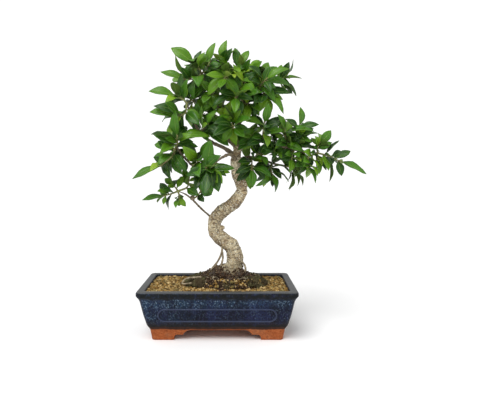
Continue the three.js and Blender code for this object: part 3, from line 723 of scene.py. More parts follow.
def old_bark():
    """Pale grey-beige bark with ring creases and crowded pale pores, brown with soil at its foot."""
    s = Shader("pale_fig_bark")
    here = s.place()
    lying = s.place((1, 1, 1.6))
    side, _, height = s.coordinates()
    # How far the surface faces up or down, for the painted shade on its downward faces.
    facing = s.split(s.add("NewGeometry", "Normal", {}))[2]
    crease, fine_rings = ring_creases(s, here)
    pores = s.specks(lying, 310, 0.3) * s.blotches(here, 90, 0.38, 0.52, 3)
    big_pores = s.specks(lying, 210, 0.22) * s.blotches(here, 60, 0.4, 0.55)
    grain = s.noise(here, 620, 5, 0.7)
    rise = height - abs(side - (tree_foot.x + 2 * MM)) * soil_line_slope + s.noise(here, 120) * 0.016
    soil_top = soil_level + soiled_height
    soil_color = s.ramp(
        grain, (0.3, 0.010, 0.006, 0.004), (0.55, 0.04, 0.023, 0.015), (0.75, 0.13, 0.085, 0.055),
    )
    color = s.layers(
        s.ramp(
            s.noise(here, 48, 5, 0.62, 0.5), (0.25, 0.18, 0.112, 0.055), (0.42, 0.42, 0.31, 0.17),
            (0.55, 0.70, 0.59, 0.37), (0.72, 0.92, 0.83, 0.60),
        ),
        (s.blotches(here, 80, 0.52, 0.66, 4, 0.6, 0.8) * 0.7, (0.21, 0.11, 0.045)),
        # Downward faces are darkened: painted shade under the trunk's bends and burls. The ring creases are darkened
        # too: painted shade in them, besides their bump.
        (facing.mask(0.0, -0.8) * 0.6, (0.07, 0.045, 0.024)), (crease * 0.85, (0.07, 0.04, 0.02)),
        (pores, (1.0, 0.95, 0.76)), (big_pores * 0.85, (0.97, 0.92, 0.76)),
        (s.blotches(here, 330, 0.52, 0.36, 5, 0.7) * 0.85, (0.085, 0.052, 0.026)),
        (height.mask(soil_level + 150 * MM, soil_level + 60 * MM) * 0.22, (0.16, 0.13, 0.08)),
        (rise.mask(soil_top + 22 * MM, soil_top) * 0.5, (0.10, 0.088, 0.046)),
        (rise.mask(soil_top, soil_top - 6 * MM) * 0.93, soil_color),
    )
    s.bumps(
        (grain, 0.0006, 0.7), (crease * -1.6 + fine_rings * 0.14, 0.0007, 0.9), (pores + big_pores, 0.0006, 0.9),
    )
    return s.wear(Base_Color=color, Roughness=grain * 0.2 + 0.66)


def branch_bark():
    """Greyer, browner bark on the branches, with small pores and leaf scars."""
    s = Shader("brown_branch_bark")
    here = s.place()
    crease, fine_rings = ring_creases(s, here)
    pores = s.specks(here, 520, 0.26) * s.blotches(here, 120, 0.4, 0.55)
    grain = s.noise(here, 700, 5, 0.7)
    color = s.layers(
        s.ramp(
            s.noise(here, 75, 5, 0.6, 0.4), (0.28, 0.07, 0.046, 0.025), (0.5, 0.15, 0.112, 0.065),
            (0.75, 0.28, 0.23, 0.15),
        ),
        # The creases are darkened in colour: painted shade in them, besides their bump.
        (crease * 0.6, (0.035, 0.022, 0.012)), (pores * 0.7, (0.45, 0.39, 0.27)),
    )
    s.bumps((grain, 0.0005, 0.7), (crease * -1.4 + fine_rings * 0.15, 0.0005, 0.9), (pores, 0.0004, 0.8))
    return s.wear(Base_Color=color, Roughness=grain * 0.2 + 0.62)


def thin_skin(name, rough, blotch, colors, speck, speck_color, bump):
    """The plain skin of thin roots and twigs: blotched, specked and finely bumpy."""
    s = Shader(name, Roughness=rough)
    here = s.place()
    color = s.mix(s.specks(here, *speck) * 0.7, s.ramp(s.noise(here, blotch), *colors), speck_color)
    scale, distance, strength = bump
    s.bumps((s.noise(here, scale), distance, strength))
    return s.wear(Base_Color=color)


def leaf_side(name, ramp, rib_color, vein_color, specular, rough, relief):
    """A fig leaf: pale midrib, fine side veins, young leaves lighter and yellower."""
    s = Shader(name, Coat_Roughness=0.3, Specular_IOR_Level=specular)
    here = s.place()
    across, along, _ = s.split(s.add("UVMap", "UV", {}, uv_map="leaf"))
    tone = s.attribute("tone") + (s.noise(here, 70, 3) - 0.5) * 0.35
    off_middle = abs(across - 0.5)
    rib = (off_middle / (0.034 - along * 0.024)).mask(1.25, 0.7)
    vein = (along * 88.0 - off_middle * 62.0).sine().mask(0.82, 0.99)
    color = s.layers(
        s.ramp(tone, *ramp), (vein * 0.22, vein_color), (off_middle.mask(0.465, 0.495) * 0.25, vein_color),
        (rib * 0.6, rib_color), (s.specks(here, 160, 0.1) * 0.6, (0.13, 0.1, 0.03)),
    )
    s.bumps((s.noise(here, 900, 3), 0.0002, 0.35), (rib * -relief + vein * (-0.4 * relief), 0.0004, 0.8))
    return s.wear(Base_Color=color, Roughness=s.blotches(here, 210, 0.5, 0.75) * 0.14 + rough)


clay_finish = glazed_clay()
plastic_finish = plastic()
earth_finish = wet_earth()
gravel_finish = gravel_grains()
moss_finish = moss_skin()
bark_finish = old_bark()
branch_finish = branch_bark()
root_finish = thin_skin(
    "pale_root_skin", 0.75, 160, ((0.3, 0.085, 0.06, 0.035), (0.5, 0.25, 0.2, 0.125), (0.72, 0.5, 0.43, 0.3)),
    (500, 0.24), (0.06, 0.042, 0.026), (700, 0.0004, 0.8),
)
twig_finish = thin_skin(
    "young_twig_bark", 0.62, 130, ((0.3, 0.14, 0.105, 0.045), (0.52, 0.23, 0.235, 0.075), (0.72, 0.30, 0.38, 0.11)),
    (700, 0.22), (0.42, 0.38, 0.24), (800, 0.0003, 0.7),
)
leaf_top = leaf_side(
    "leaf_upper_face",
    (
        (0.0, 0.007, 0.028, 0.002), (0.25, 0.020, 0.080, 0.004), (0.45, 0.052, 0.165, 0.006),
        (0.7, 0.135, 0.285, 0.010), (1.0, 0.32, 0.45, 0.026),
    ),
    (0.24, 0.4, 0.07), (0.07, 0.18, 0.02), 0.3, 0.3, 1.0,
)
leaf_underside = leaf_side(
    "leaf_underside", ((0.0, 0.035, 0.075, 0.012), (0.6, 0.10, 0.185, 0.026), (1.0, 0.25, 0.35, 0.055)),
    (0.22, 0.3, 0.09), (0.11, 0.19, 0.045), 0.14, 0.6, -1.0,
)


# ---------------------------------------------------------------- pot

def rounded_block(name, corner, levels):
    """A rounded rectangle drawn up through levels of (height, length, width), closed at both ends."""
    height, length, width = levels[0]
    middle = Vector((pot_middle.x, pot_middle.y, height))
    deselect()
    bpy.ops.mesh.primitive_plane_add(size=1, location=middle)
    block = bpy.context.object
    block.name = name
    block.scale = (length, width, 1)
    settle(block)
    edit_all(block, "VERT")
    bpy.ops.mesh.bevel(offset=corner, segments=8, affect="VERTICES")
    bpy.ops.mesh.select_mode(type="FACE")
    bpy.ops.mesh.select_all(action="SELECT")
    for next_height, next_length, next_width in levels[1:]:
        bpy.ops.mesh.extrude_region_move(TRANSFORM_OT_translate={"value": (0, 0, next_height - height)})
        size = (next_length / length, next_width / width, 1)
        bpy.ops.transform.resize(value=size, center_override=(middle.x, middle.y, next_height))
        height, length, width = next_height, next_length, next_width
    face_outward()
    return block


def cut_arch(pot, half_opening, shoulder, depth, turned):
    """Cuts the opening under one pair of walls: tall in the middle, low over the feet's shoulders."""
    low, touching = -4 * MM, 0.01 * MM
    for half, top, round_off in (
        (half_opening, shoulder_height, 6 * MM), (half_opening - shoulder + 4 * MM, foot_height, 13 * MM),
    ):
        deselect()
        bpy.ops.mesh.primitive_cube_add(size=1, location=(pot_middle.x, pot_middle.y, (low + top) / 2))
        tool = bpy.context.object
        tool.scale = (depth, 2 * half, top - low) if turned else (2 * half, depth, top - low)
        settle(tool)
        edit_all(tool, "EDGE")

        def upper_end(edge):
            first, second = (vertex.co for vertex in edge.verts)
            level = abs(first.z - top) < touching and abs(second.z - top) < touching
            return level and abs(first[turned] - second[turned]) < touching

        select_edges(tool, upper_end)
        bpy.ops.mesh.bevel(offset=round_off, segments=6, affect="EDGES")
        leave_edit_mode()
        cut(pot, tool)


def panel_path(face_length, steps=14):
    """The stadium that the bead follows, as (along, up) places on a wall."""
    radius = (wall_top - wall_bottom - 2 * panel_margin) / 2 - bead_radius
    reach = (face_length - 2 * panel_end_margin) / 2 - bead_radius - radius
    places = []
    for side, start in ((1, -math.pi / 2), (-1, math.pi / 2)):
        for i in range(steps + 1):
            turn = start + math.pi * i / steps
            places.append((side * reach + radius * math.cos(turn), radius * math.sin(turn)))
    return places


def on_wall(place, half_depth, out, turn):
    """A place on a sloping wall, moved out of it by a distance and turned round the pot's middle."""
    slope = math.atan2(wall_taper, wall_top - wall_bottom)
    along, up = place
    spot = Vector((
        along, -half_depth - up * math.sin(slope) - out * math.cos(slope),
        (wall_top + wall_bottom) / 2 + up * math.cos(slope) - out * math.sin(slope),
    ))
    return Matrix.Rotation(turn, 3, "Z") @ spot + Vector((pot_middle.x, pot_middle.y, 0))


def sunken_field(places, half_depth, turn):
    """A thin plate the shape of the panel, which cuts its field back into the wall."""
    clear = 4 * MM
    deselect()
    bpy.ops.mesh.primitive_circle_add(vertices=len(places), radius=1, fill_type="NGON")
    plate = bpy.context.object
    for vertex, place in zip(plate.data.vertices, places):
        vertex.co = on_wall(place, half_depth, clear, turn)
    inner = on_wall((0, 0), half_depth, -field_depth, turn) - on_wall((0, 0), half_depth, clear, turn)
    edit_all(plate)
    bpy.ops.mesh.extrude_region_move(TRANSFORM_OT_translate={"value": inner})
    face_outward()
    return plate


def make_pot():
    lip_top = pot_height - lip_rounding
    levels = [(0, foot_length, foot_width), (foot_height, foot_length + 2 * foot_inset, foot_width + 2 * foot_inset)]
    for share, bow in ((0, 0), (0.06, 0.1), (0.2, 0.26), (0.4, 0.48), (0.6, 0.67), (0.8, 0.84), (1, 1)):
        height = wall_bottom + share * (wall_top - wall_bottom)
        levels.append((height, bottom_length + 2 * bow * wall_taper, bottom_width + 2 * bow * wall_taper))
    for share, bow in ((0.3, 0.16), (0.6, 0.42), (0.85, 0.75), (1, 0.96)):
        height = wall_top + share * lip_flare_height
        levels.append((height, top_length + 2 * bow * lip_overhang, top_width + 2 * bow * lip_overhang))
    levels += [(lip_top - 3 * MM, pot_length, pot_width), (lip_top, pot_length, pot_width)]
    for i in range(1, 5):
        turn = math.pi / 2 * i / 4
        drop = 2 * lip_rounding * (1 - math.cos(turn))
        levels.append((lip_top + lip_rounding * math.sin(turn), pot_length - drop, pot_width - drop))
    pot = rounded_block("pot_body", pot_corner - lip_overhang / 2, levels)
    inner_bottom = (rim_inner_length - 2 * wall_taper, rim_inner_width - 2 * wall_taper)
    floor_top = foot_height + floor_thickness
    cut(pot, rounded_block("cavity", 6 * MM, [
        (floor_top, inner_bottom[0] - 6 * MM, inner_bottom[1] - 6 * MM),
        (floor_top + 3 * MM, *inner_bottom),
        (pot_height - 1.5 * MM, rim_inner_length, rim_inner_width),
        (pot_height + 1 * MM, rim_inner_length + 3 * MM, rim_inner_width + 3 * MM),
    ]))
    under = (foot_length - 2 * foot_thickness, foot_width - 2 * foot_thickness)
    cut(pot, rounded_block("hollow_under_floor", 4 * MM, [(-5 * MM, *under), (foot_height, *under)]))
    cut_arch(pot, foot_length / 2 - foot_on_long_side, shoulder_on_long_side, 1.4 * pot_width, False)
    cut_arch(pot, foot_width / 2 - foot_on_short_side, shoulder_on_short_side, 1.4 * pot_length, True)
    for side in (-1, 1):
        deselect()
        place = (pot_middle.x + side * drain_spacing / 2, pot_middle.y, foot_height + floor_thickness / 2)
        size = {"radius": drain_radius, "depth": 3 * floor_thickness}
        bpy.ops.mesh.primitive_cylinder_add(vertices=32, location=place, **size)
        cut(pot, settle(bpy.context.object))
    beads = []
    wall_bow = 0.7 * MM
    half_length = (top_length + bottom_length) / 4 + wall_bow
    half_width = (top_width + bottom_width) / 4 + wall_bow
    for turn, face_length, depth in (
        (0, bottom_length, half_width), (math.pi, bottom_length, half_width),
        (math.pi / 2, bottom_width, half_length), (-math.pi / 2, bottom_width, half_length),
    ):
        places = panel_path(face_length)
        cut(pot, sunken_field(places, depth, turn))
        beads.append(tube("panel_bead", [on_wall(place, depth, 0, turn) for place in places], bead_radius, 3))
    rounding = {"limit_method": "ANGLE", "angle_limit": math.radians(32)}
    apply_modifier(pot, "BEVEL", width=0.9 * MM, segments=3, **rounding)
    edit_all(pot)
    bpy.ops.mesh.remove_doubles(threshold=0.00002)
    bpy.ops.mesh.quads_convert_to_tris()
    leave_edit_mode()
    smooth_by_angle(pot, 45)
    set_attribute(pot, "edge", 0)
    for bead in beads:
        smooth_by_angle(bead, 60)
        set_attribute(bead, "edge", 1)
    pot = join([pot, *beads])
    finish_piece(pot, "glazed_pot", [clay_finish], ["pot"])


# ---------------------------------------------------------------- soil, gravel and moss

def from_node(node, name, voxel):
    """A solid copy of a CAD node, made over in small even faces."""
    piece = new_object(name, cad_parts[node].data.copy())
    edit_all(piece)
    bpy.ops.mesh.remove_doubles(threshold=0.00001)
    leave_edit_mode()
    apply_modifier(piece, "REMESH", mode="VOXEL", voxel_size=voxel)
    return piece


def pebble_shape(seed, rough):
    """One irregular grain, a unit across, with two dozen faces."""
    deselect()
    bpy.ops.mesh.primitive_cube_add(size=1)
    grain = bpy.context.object
    edit_all(grain)
    bpy.ops.mesh.subdivide(number_cuts=1)
    bpy.ops.transform.tosphere(value=0.8)
    leave_edit_mode()
    number = repeatable(seed)
    for vertex in grain.data.vertices:
        vertex.co *= 1 + rough * (next(number) - 0.5)
    return grain


def mesh_arrays(thing):
    """A shape's places and faces; the shape itself goes."""
    arrays = vertex_places(thing), [tuple(polygon.vertices) for polygon in thing.data.polygons]
    bpy.data.objects.remove(thing)
    return arrays


def turned_by(number):
    """A turn picked evenly from all turns, as a matrix."""
    u, v, w = drawn(number, 3)
    a, b = math.sqrt(1 - u), math.sqrt(u)
    v, w = 2 * math.pi * v, 2 * math.pi * w
    x, y, z, s = a * math.sin(v), a * math.cos(v), b * math.sin(w), b * math.cos(w)
    return np.array([
        [1 - 2 * (y * y + z * z), 2 * (x * y - s * z), 2 * (x * z + s * y)],
        [2 * (x * y + s * z), 1 - 2 * (x * x + z * z), 2 * (y * z - s * x)],
        [2 * (x * z - s * y), 2 * (y * z + s * x), 1 - 2 * (x * x + y * y)],
    ])


def scatter(name, shapes, placements):
    """One mesh of many copies: placements are (shape number, 3x3 matrix, place, tone)."""
    places, faces, tones, count = [], [], [], 0
    for which, matrix, place, tone in placements:
        co, shape_faces = shapes[which % len(shapes)]
        places.append(co @ matrix.T + np.array(place))
        faces.extend(tuple(index + count for index in face) for face in shape_faces)
        tones.append(np.full(len(co), tone))
        count += len(co)
    mesh = bpy.data.meshes.new(name)
    mesh.from_pydata(np.concatenate(places).tolist(), [], faces)
    piece = new_object(name, mesh)
    set_attribute(piece, "tone", np.concatenate(tones))
    smooth_by_angle(piece, 50)
    return piece


def mound_share(x, y):
    """How far out from the mound's middle a place is, 1 on its edge at the soil's level."""
    across = (x - tree_foot.x - mound_offset) / mound_half_length
    deep = (y - tree_foot.y) / mound_half_width
    return math.hypot(across, deep)


def mound_surface(x, y):
    """The height of the soil mound over the tree's foot level, in metres."""
    share = mound_share(x, y)
    heights = [z for _, z in mound_profile]
    return soil_level + float(np.interp(share, [r for r, _ in mound_profile], heights)) * MM


def in_dark_strip(x, y):
    """The strip of bare soil that runs from the mound to the front rim."""
    return -21 * MM < x - tree_foot.x < -3 * MM and y - tree_foot.y < -30 * MM


def lapping(x, y):
    """How far the gravel laps up the mound there, uneven all the way round it."""
    turn = math.atan2(y - tree_foot.y, x - tree_foot.x - mound_offset)
    uneven = 0.5 + 0.3 * math.sin(3 * turn + 0.7) + 0.2 * math.sin(7 * turn + 2) + 0.15 * math.sin(13 * turn)
    front, front_right = -math.sin(turn), math.cos(turn + 0.7)
    return 0.15 * max(0.0, uneven) + 0.1 * max(0.0, front) + 0.16 * max(0.0, front_right)


def inside_rim(x, y, margin):
    """Whether a place lies inside the rim and clear of it by a margin, with rounded corners."""
    corner = 10 * MM
    dx = max(0.0, abs(x - pot_middle.x) - (rim_inner_length / 2 - margin - corner))
    dy = max(0.0, abs(y - pot_middle.y) - (rim_inner_width / 2 - margin - corner))
    return math.hypot(dx, dy) < corner


def crumb(turn, size, fullness):
    """A crumb's turn and size as a matrix: a little flat, and more or less broad."""
    breadth, thickness = 0.7 + 0.3 * fullness, 0.75
    return turn @ np.diag([size, size * breadth, size * thickness])


def lay_crumbs(name, seed, kinds, placements):
    shapes = [mesh_arrays(pebble_shape(seed + i, 0.5)) for i in range(kinds)]
    finish_piece(scatter(name, shapes, placements), name, [earth_finish])


def make_soil():
    soil = from_node("soil", "soil", 2.4 * MM)
    bumps(soil, (0.011, 0.0035), (0.0035, 0.0022))
    smooth_by_angle(soil, 60)
    set_attribute(soil, "tone", 0)
    finish_piece(soil, "root_ball_soil", [earth_finish], ["soil"])
    number = repeatable(4711)
    placements = []
    step = 3.1 * MM
    filled, filled_in_strip, filled_under_gravel, farthest = 0.62, 0.9, 0.2, 1.04
    reach, depth_reach = 1.1 * mound_half_length, 1.6 * mound_half_width
    left, front = tree_foot.x + mound_offset - reach, tree_foot.y - depth_reach
    for i in range(int(2 * reach / step)):
        for j in range(int(2 * depth_reach / step)):
            x = left + i * step + (next(number) - 0.5) * step
            y = front + j * step + (next(number) - 0.5) * step
            draws = drawn(number, 5)
            turn = turned_by(number)
            strip = in_dark_strip(x, y)
            if not inside_rim(x, y, 2 * MM):
                continue
            share = mound_share(x, y)
            if draws[0] > (filled_in_strip if strip else filled) or (share > farthest and not strip):
                continue
            if share > 1 - lapping(x, y) and draws[0] > filled_under_gravel and not strip:
                continue
            size = (1.6 + 2.6 * draws[1] ** 2) * MM
            z = max(mound_surface(x, y), gravel_level - 1.0 * MM if strip else soil_level)
            z += (0.15 * (draws[2] - 0.3)) * size
            placements.append((i + 3 * j, crumb(turn, size, draws[3]), (x, y, z), draws[4] ** 2))
    lay_crumbs("soil_crumbs", 91, 5, placements)


def make_gravel():
    slab = from_node("gravel_top_dressing", "gravel_top_dressing", 2.6 * MM)
    edit_all(slab)
    bpy.ops.transform.translate(value=(0, 0, -2.2 * MM))
    leave_edit_mode()
    bumps(slab, (0.004, 0.002))
    # The bed under the grains takes the darkest tone: painted shade in the gaps between the grains.
    set_attribute(slab, "tone", 0.05)
    shapes = [mesh_arrays(pebble_shape(17 + 7 * i, 0.42)) for i in range(7)]
    number = repeatable(90210)
    placements = []
    step, sunk_share, lapped_size, lapped_lift = 3.5 * MM, 0.42, 0.85, 0.9 * MM
    row_step, stray = 0.87 * step, 0.8 * step
    left, front = pot_middle.x - rim_inner_length / 2, pot_middle.y - rim_inner_width / 2
    for j in range(int(rim_inner_width / row_step) + 2):
        for i in range(int(rim_inner_length / step) + 2):
            x = left + (i + 0.5 * (j % 2)) * step + (next(number) - 0.5) * stray
            y = front + j * row_step + (next(number) - 0.5) * stray
            draws = drawn(number, 6)
            turn = turned_by(number)
            if not inside_rim(x, y, 1.5 * MM):
                continue
            share = mound_share(x, y)
            if share < 0.96 + 0.1 * draws[0] - lapping(x, y) or (in_dark_strip(x, y) and draws[5] < 0.85):
                continue
            size = (2.9 + 2.9 * draws[1] ** 1.5) * MM * (1.0 if share > 1 else lapped_size)
            z = gravel_level - sunk_share * size + 2.0 * MM * (draws[2] - 0.35)
            if share < 1:
                z = max(z, mound_surface(x, y) + lapped_lift)
            shape = turn @ np.diag([size, size * (0.72 + 0.25 * draws[3]), size * 0.72])
            placements.append((i + 3 * j, shape, (x, y, z), draws[4]))
    grains = scatter("grains", shapes, placements)
    gravel = join([grains, slab])
    finish_piece(gravel, "gravel_top_dressing_grains", [gravel_finish], ["gravel_top_dressing"])


def tuft_shape():
    """A little five-sided tuft, a unit high."""
    deselect()
    bpy.ops.mesh.primitive_cone_add(vertices=5, radius1=0.5, radius2=0.16, depth=1, location=(0, 0, 0.3))
    return mesh_arrays(settle(bpy.context.object))


def make_moss(node, seed):
    cushion = from_node(node, node, 1.6 * MM)
    bumps(cushion, (0.013, 0.013), middle=0.66)
    bumps(cushion, (0.006, 0.004), (0.0025, 0.0016))
    smooth_by_angle(cushion, 60)
    set_attribute(cushion, "tone", 0.25)
    number = repeatable(seed)
    tuft = tuft_shape()
    placements = []
    for polygon in cushion.data.polygons:
        draws = drawn(number, 5)
        if polygon.normal.z < 0.15 or draws[0] > 0.6:
            continue
        up = (polygon.normal + Vector((draws[1] - 0.5, draws[2] - 0.5, 0.3))).normalized()
        matrix = np.array(up.to_track_quat("Z", "Y").to_matrix())
        width, height = (0.8 + 0.9 * draws[3]) * MM, (1.3 + 2.0 * draws[4]) * MM
        placements.append((0, matrix @ np.diag([width, width, height]), polygon.center, draws[3] * draws[1]))
    tufts = scatter("tufts", [tuft], placements)
    moss = join([tufts, cushion])
    finish_piece(moss, node + "_tufts", [moss_finish], [node])


# ---------------------------------------------------------------- curves of the tree

class Path:
    """A smooth curve through places with a radius, in millimetres from the trunk's foot."""

    def __init__(self, points):
        rows = np.array(points, float)
        self.places = rows[:, :3]
        self.radii = rows[:, 3]

    def place(self, share):
        """The place at a share of the way along, on a centripetal Catmull-Rom curve."""
        p = self.places
        last = len(p) - 1
        at = last * share
        span = int(math.floor(at))
        weight = at - span
        if span >= last:
            span, weight = last - 1, 1.0
        p1, p2 = p[span], p[span + 1]
        p0 = p[span - 1] if span > 0 else 2 * p[0] - p[1]
        p3 = p[span + 2] if span + 2 <= last else 2 * p[last] - p[last - 1]
        d0, d1, d2 = (float(np.dot(b - a, b - a)) ** 0.25 for a, b in ((p0, p1), (p1, p2), (p2, p3)))
        least = 1e-4
        d1 = 1.0 if d1 < least else d1
        d0 = d1 if d0 < least else d0
        d2 = d1 if d2 < least else d2
        t1 = ((p1 - p0) / d0 - (p2 - p0) / (d0 + d1) + (p2 - p1) / d1) * d1
        t2 = ((p2 - p1) / d1 - (p3 - p1) / (d1 + d2) + (p3 - p2) / d2) * d1
        c2 = -3 * p1 + 3 * p2 - 2 * t1 - t2
        c3 = 2 * p1 - 2 * p2 + t1 + t2
        return p1 + t1 * weight + c2 * weight ** 2 + c3 * weight ** 3

    def tangent(self, share):
        nearby = 0.0001
        start, end = max(0.0, share - nearby), min(1.0, share + nearby)
        step = self.place(end) - self.place(start)
        return step / np.linalg.norm(step)

    def radius(self, share):
        at = share * (len(self.radii) - 1)
        return float(np.interp(at, range(len(self.radii)), self.radii))


def stations(path, steps):
    """Places at even steps along a path, and how far along it each lies in metres."""
    places = [path.place(i / steps) for i in range(steps + 1)]
    run, lengths = 0.0, [0.0]
    for last, place in zip(places, places[1:]):
        run += float(np.linalg.norm(place - last))
        lengths.append(run * MM)
    return places, np.array(lengths)


def limb(path, name, steps, sides, wobble=0.0, seed=1, swell=None):
    """A tapering closed tube along a path, with its length stored along it in metres."""
    number = repeatable(seed)
    places, lengths = stations(path, steps)
    spots = [tree_foot + Vector(place) * MM for place in places]
    radii = []
    for i in range(steps + 1):
        grown = 1 + wobble * (next(number) - 0.5)
        if swell:
            grown *= swell(i / steps)
        radii.append(path.radius(i / steps) * grown)
    wood = tube(name, spots, MM, max(0, sides // 2 - 2), radii)
    edit_all(wood)
    bpy.ops.mesh.remove_doubles(threshold=0.01 * MM)
    face_outward()
    gaps = ((vertex_places(wood)[:, None, :] - np.array(spots)[None]) ** 2).sum(2)
    set_attribute(wood, "along", lengths[gaps.argmin(1)])
    return wood


def carry_along(piece, paths):
    """Stores on each vertex how far along the nearest path it lies, blended from the nearest places."""
    middles, lengths = [], []
    for path in paths:
        places, run = stations(path, 160)
        middles += [np.array(tree_foot) + place * MM for place in places]
        lengths += list(run)
    middles, lengths = np.array(middles), np.array(lengths)
    co = vertex_places(piece)
    along = np.zeros(len(co))
    batch = 4000
    for first in range(0, len(co), batch):
        gaps = ((co[first:first + batch, None, :] - middles[None]) ** 2).sum(2)
        near = np.argsort(gaps, axis=1)[:, :3]
        weights = 1 / (np.take_along_axis(gaps, near, 1) + 1e-9)
        along[first:first + batch] = (lengths[near] * weights).sum(1) / weights.sum(1)
    set_attribute(piece, "along", along)


def lump(place, size):
    """A rounded swelling, in millimetres from the trunk's foot."""
    deselect()
    bpy.ops.mesh.primitive_uv_sphere_add(segments=16, ring_count=10, location=tree_foot + Vector(place) * MM)
    burl = bpy.context.object
    burl.scale = [MM * value for value in size]
    return settle(burl)


def soil_on_roots(wood):
    """Crumbs of soil that cling to the trunk's foot and the thick roots."""
    number = repeatable(8128)
    placements = []
    filled, full_height = 0.13, 26 * MM
    for polygon in wood.data.polygons:
        x, y, z = polygon.center
        rise = z - soil_line_slope * abs(x - tree_foot.x - 2 * MM)
        if rise > soil_level + soiled_height or z < gravel_level:
            continue
        draws = drawn(number, 4)
        bare = (rise - soil_level - full_height) / (soiled_height - full_height)
        if draws[0] > filled * (1 - max(0.0, bare)):
            continue
        turn = turned_by(number)
        size = (1.3 + 2.2 * draws[1] ** 2) * MM
        placements.append((len(placements), crumb(turn, size, draws[2]), (x, y, z), draws[3] ** 2))
    lay_crumbs("soil_on_roots", 191, 4, placements)


def make_trunk():
    trunk = Path(trunk_path)
    roots = {name: Path(points) for name, points in root_paths.items() if name not in thin_roots}
    pieces = [limb(trunk, "trunk", 150, 20)]
    for i, (name, path) in enumerate(roots.items()):
        pieces.append(limb(path, "root_" + name, 36, 12, 0.12, 31 + i))
    pieces += [lump(place, size) for place, size in burls]
    wood = join(pieces)
    apply_modifier(wood, "REMESH", mode="VOXEL", voxel_size=1.05 * MM)
    apply_modifier(wood, "SMOOTH", iterations=3, factor=0.6)
    bumps(wood, (0.016, 0.0042), (0.0055, 0.0019), (0.0018, 0.0006))
    smooth_by_angle(wood, 70)
    carry_along(wood, [trunk, *roots.values()])
    soil_on_roots(wood)
    finish_piece(wood, "trunk_and_roots", [bark_finish], ["trunk"])


def make_branches():
    for number, (name, points) in enumerate(branch_paths.items()):
        path = Path(points)
        draws = repeatable(500 + number)
        knots = sorted(0.12 + 0.86 * next(draws) for _ in range(7))
        knot_swelling, knot_length = 0.22, 0.014

        def swell(share):
            return 1 + sum(knot_swelling * math.exp(-((share - knot) / knot_length) ** 2) for knot in knots)

        path.radii = path.radii * (low_branch_slimness if name == "low_left" else branch_slimness)
        branch = limb(path, name, 90, 12, 0.05, 700 + number, swell)
        branch = join([branch, lump(points[0][:3], (points[0][3] * 1.5,) * 3)])
        apply_modifier(branch, "REMESH", mode="VOXEL", voxel_size=0.62 * MM)
        bumps(branch, (0.006, 0.0011), (0.0018, 0.0004))
        smooth_by_angle(branch, 70)
        carry_along(branch, [path])
        finish_piece(branch, "branch_" + name + "_bark", [branch_finish], ["branch_" + name])


def make_aerial_roots():
    """The strands that hang from the trunk, and the one that loops over the gravel."""
    strands = []
    for i, name in enumerate(thin_roots):
        strands.append(limb(Path(root_paths[name]), name, 48, 10, 0.22, 40 + i))
    roots = join(strands)
    bumps(roots, (0.003, 0.0006))
    smooth_by_angle(roots, 60)
    finish_piece(roots, "aerial_roots", [root_finish])


def make_fine_roots():
    """Thin pale roots that wander over the soil between the thick ones."""
    draws = repeatable(2024)
    pieces = []
    strands, steps, arch = 60, 7, 2.6
    for i in range(strands):
        turn = 2 * math.pi * next(draws)
        heading = turn + 1.4 * (next(draws) - 0.5)
        reach = 0.42 + 0.5 * next(draws)
        x = tree_foot.x + mound_offset + mound_half_length * reach * math.cos(turn)
        y = tree_foot.y + mound_half_width * reach * math.sin(turn)
        points = []
        length = 9 + 17 * next(draws)
        for step in range(steps + 1):
            lift = arch * math.sin(math.pi * step / steps) + 1.2
            z = mound_surface(x, y) / MM + lift - soil_level / MM
            spot = ((x - tree_foot.x) / MM, (y - tree_foot.y) / MM, max(z, 6))
            points.append((*spot, 0.72 - 0.42 * step / steps))
            heading += 2.8 * (next(draws) - 0.5)
            x += MM * length / steps * math.cos(heading)
            y += MM * length / steps * math.sin(heading) * 0.8
            if mound_share(x, y) > 1.05:
                break
        if len(points) > 3:
            pieces.append(limb(Path(points), "fine_root", 20, 6, 0.2, 60 + i))
    roots = join(pieces)
    smooth_by_angle(roots, 60)
    finish_piece(roots, "fine_surface_roots", [root_finish])


# ---------------------------------------------------------------- shoots and leaves

def unit(vector):
    return vector / np.linalg.norm(vector)


def shoot_path(branch, end, tip):
    end = np.array(end, float)
    curve = Path(branch_paths[branch])
    start = curve.place(1.0)
    reach = np.linalg.norm(start - end) / tip_preference
    for i in range(int(branch_samples * 0.3), branch_samples + 1):
        place = curve.place(i / branch_samples)
        if np.linalg.norm(place - end) < min(reach, np.linalg.norm(start - end)):
            start = place
    heading = unit(np.array(tip, float) - end)
    middle = end - heading * 0.4 * np.linalg.norm(start - end)
    middle = middle + (start - middle) * 0.35
    return [(*place, shoot_radius * (1.2 - 0.25 * i)) for i, place in enumerate((start, middle, end))]


def leaf_of(base, tip, facing):
    direction = unit(tip - base)
    face = unit(facing - direction * np.dot(facing, direction))
    return {
        "base": base, "direction": direction, "face": face, "across": np.cross(direction, face),
        "length": float(np.linalg.norm(tip - base)),
    }


def facing_at(place):
    outward = unit(np.array([0.3 * (place[0] - crown_middle[0]), place[1] - crown_middle[1], 0.0]))
    return outward * 0.75 + np.array([0, 0, 0.55])


def blade_points(leaf):
    points = []
    for share, side in blade_spread:
        arch = leaf_arch * share * (1 - share) * leaf["length"]
        place = leaf["base"] + leaf["direction"] * share * leaf["length"] + leaf["face"] * arch
        points.append(place + leaf["across"] * side * leaf["length"] * leaf_width_share / 2)
    return points


def clearance(points, taken):
    gaps = ((np.array(points)[:, None, :] - taken[None]) ** 2).sum(2)
    return math.sqrt(gaps.min())


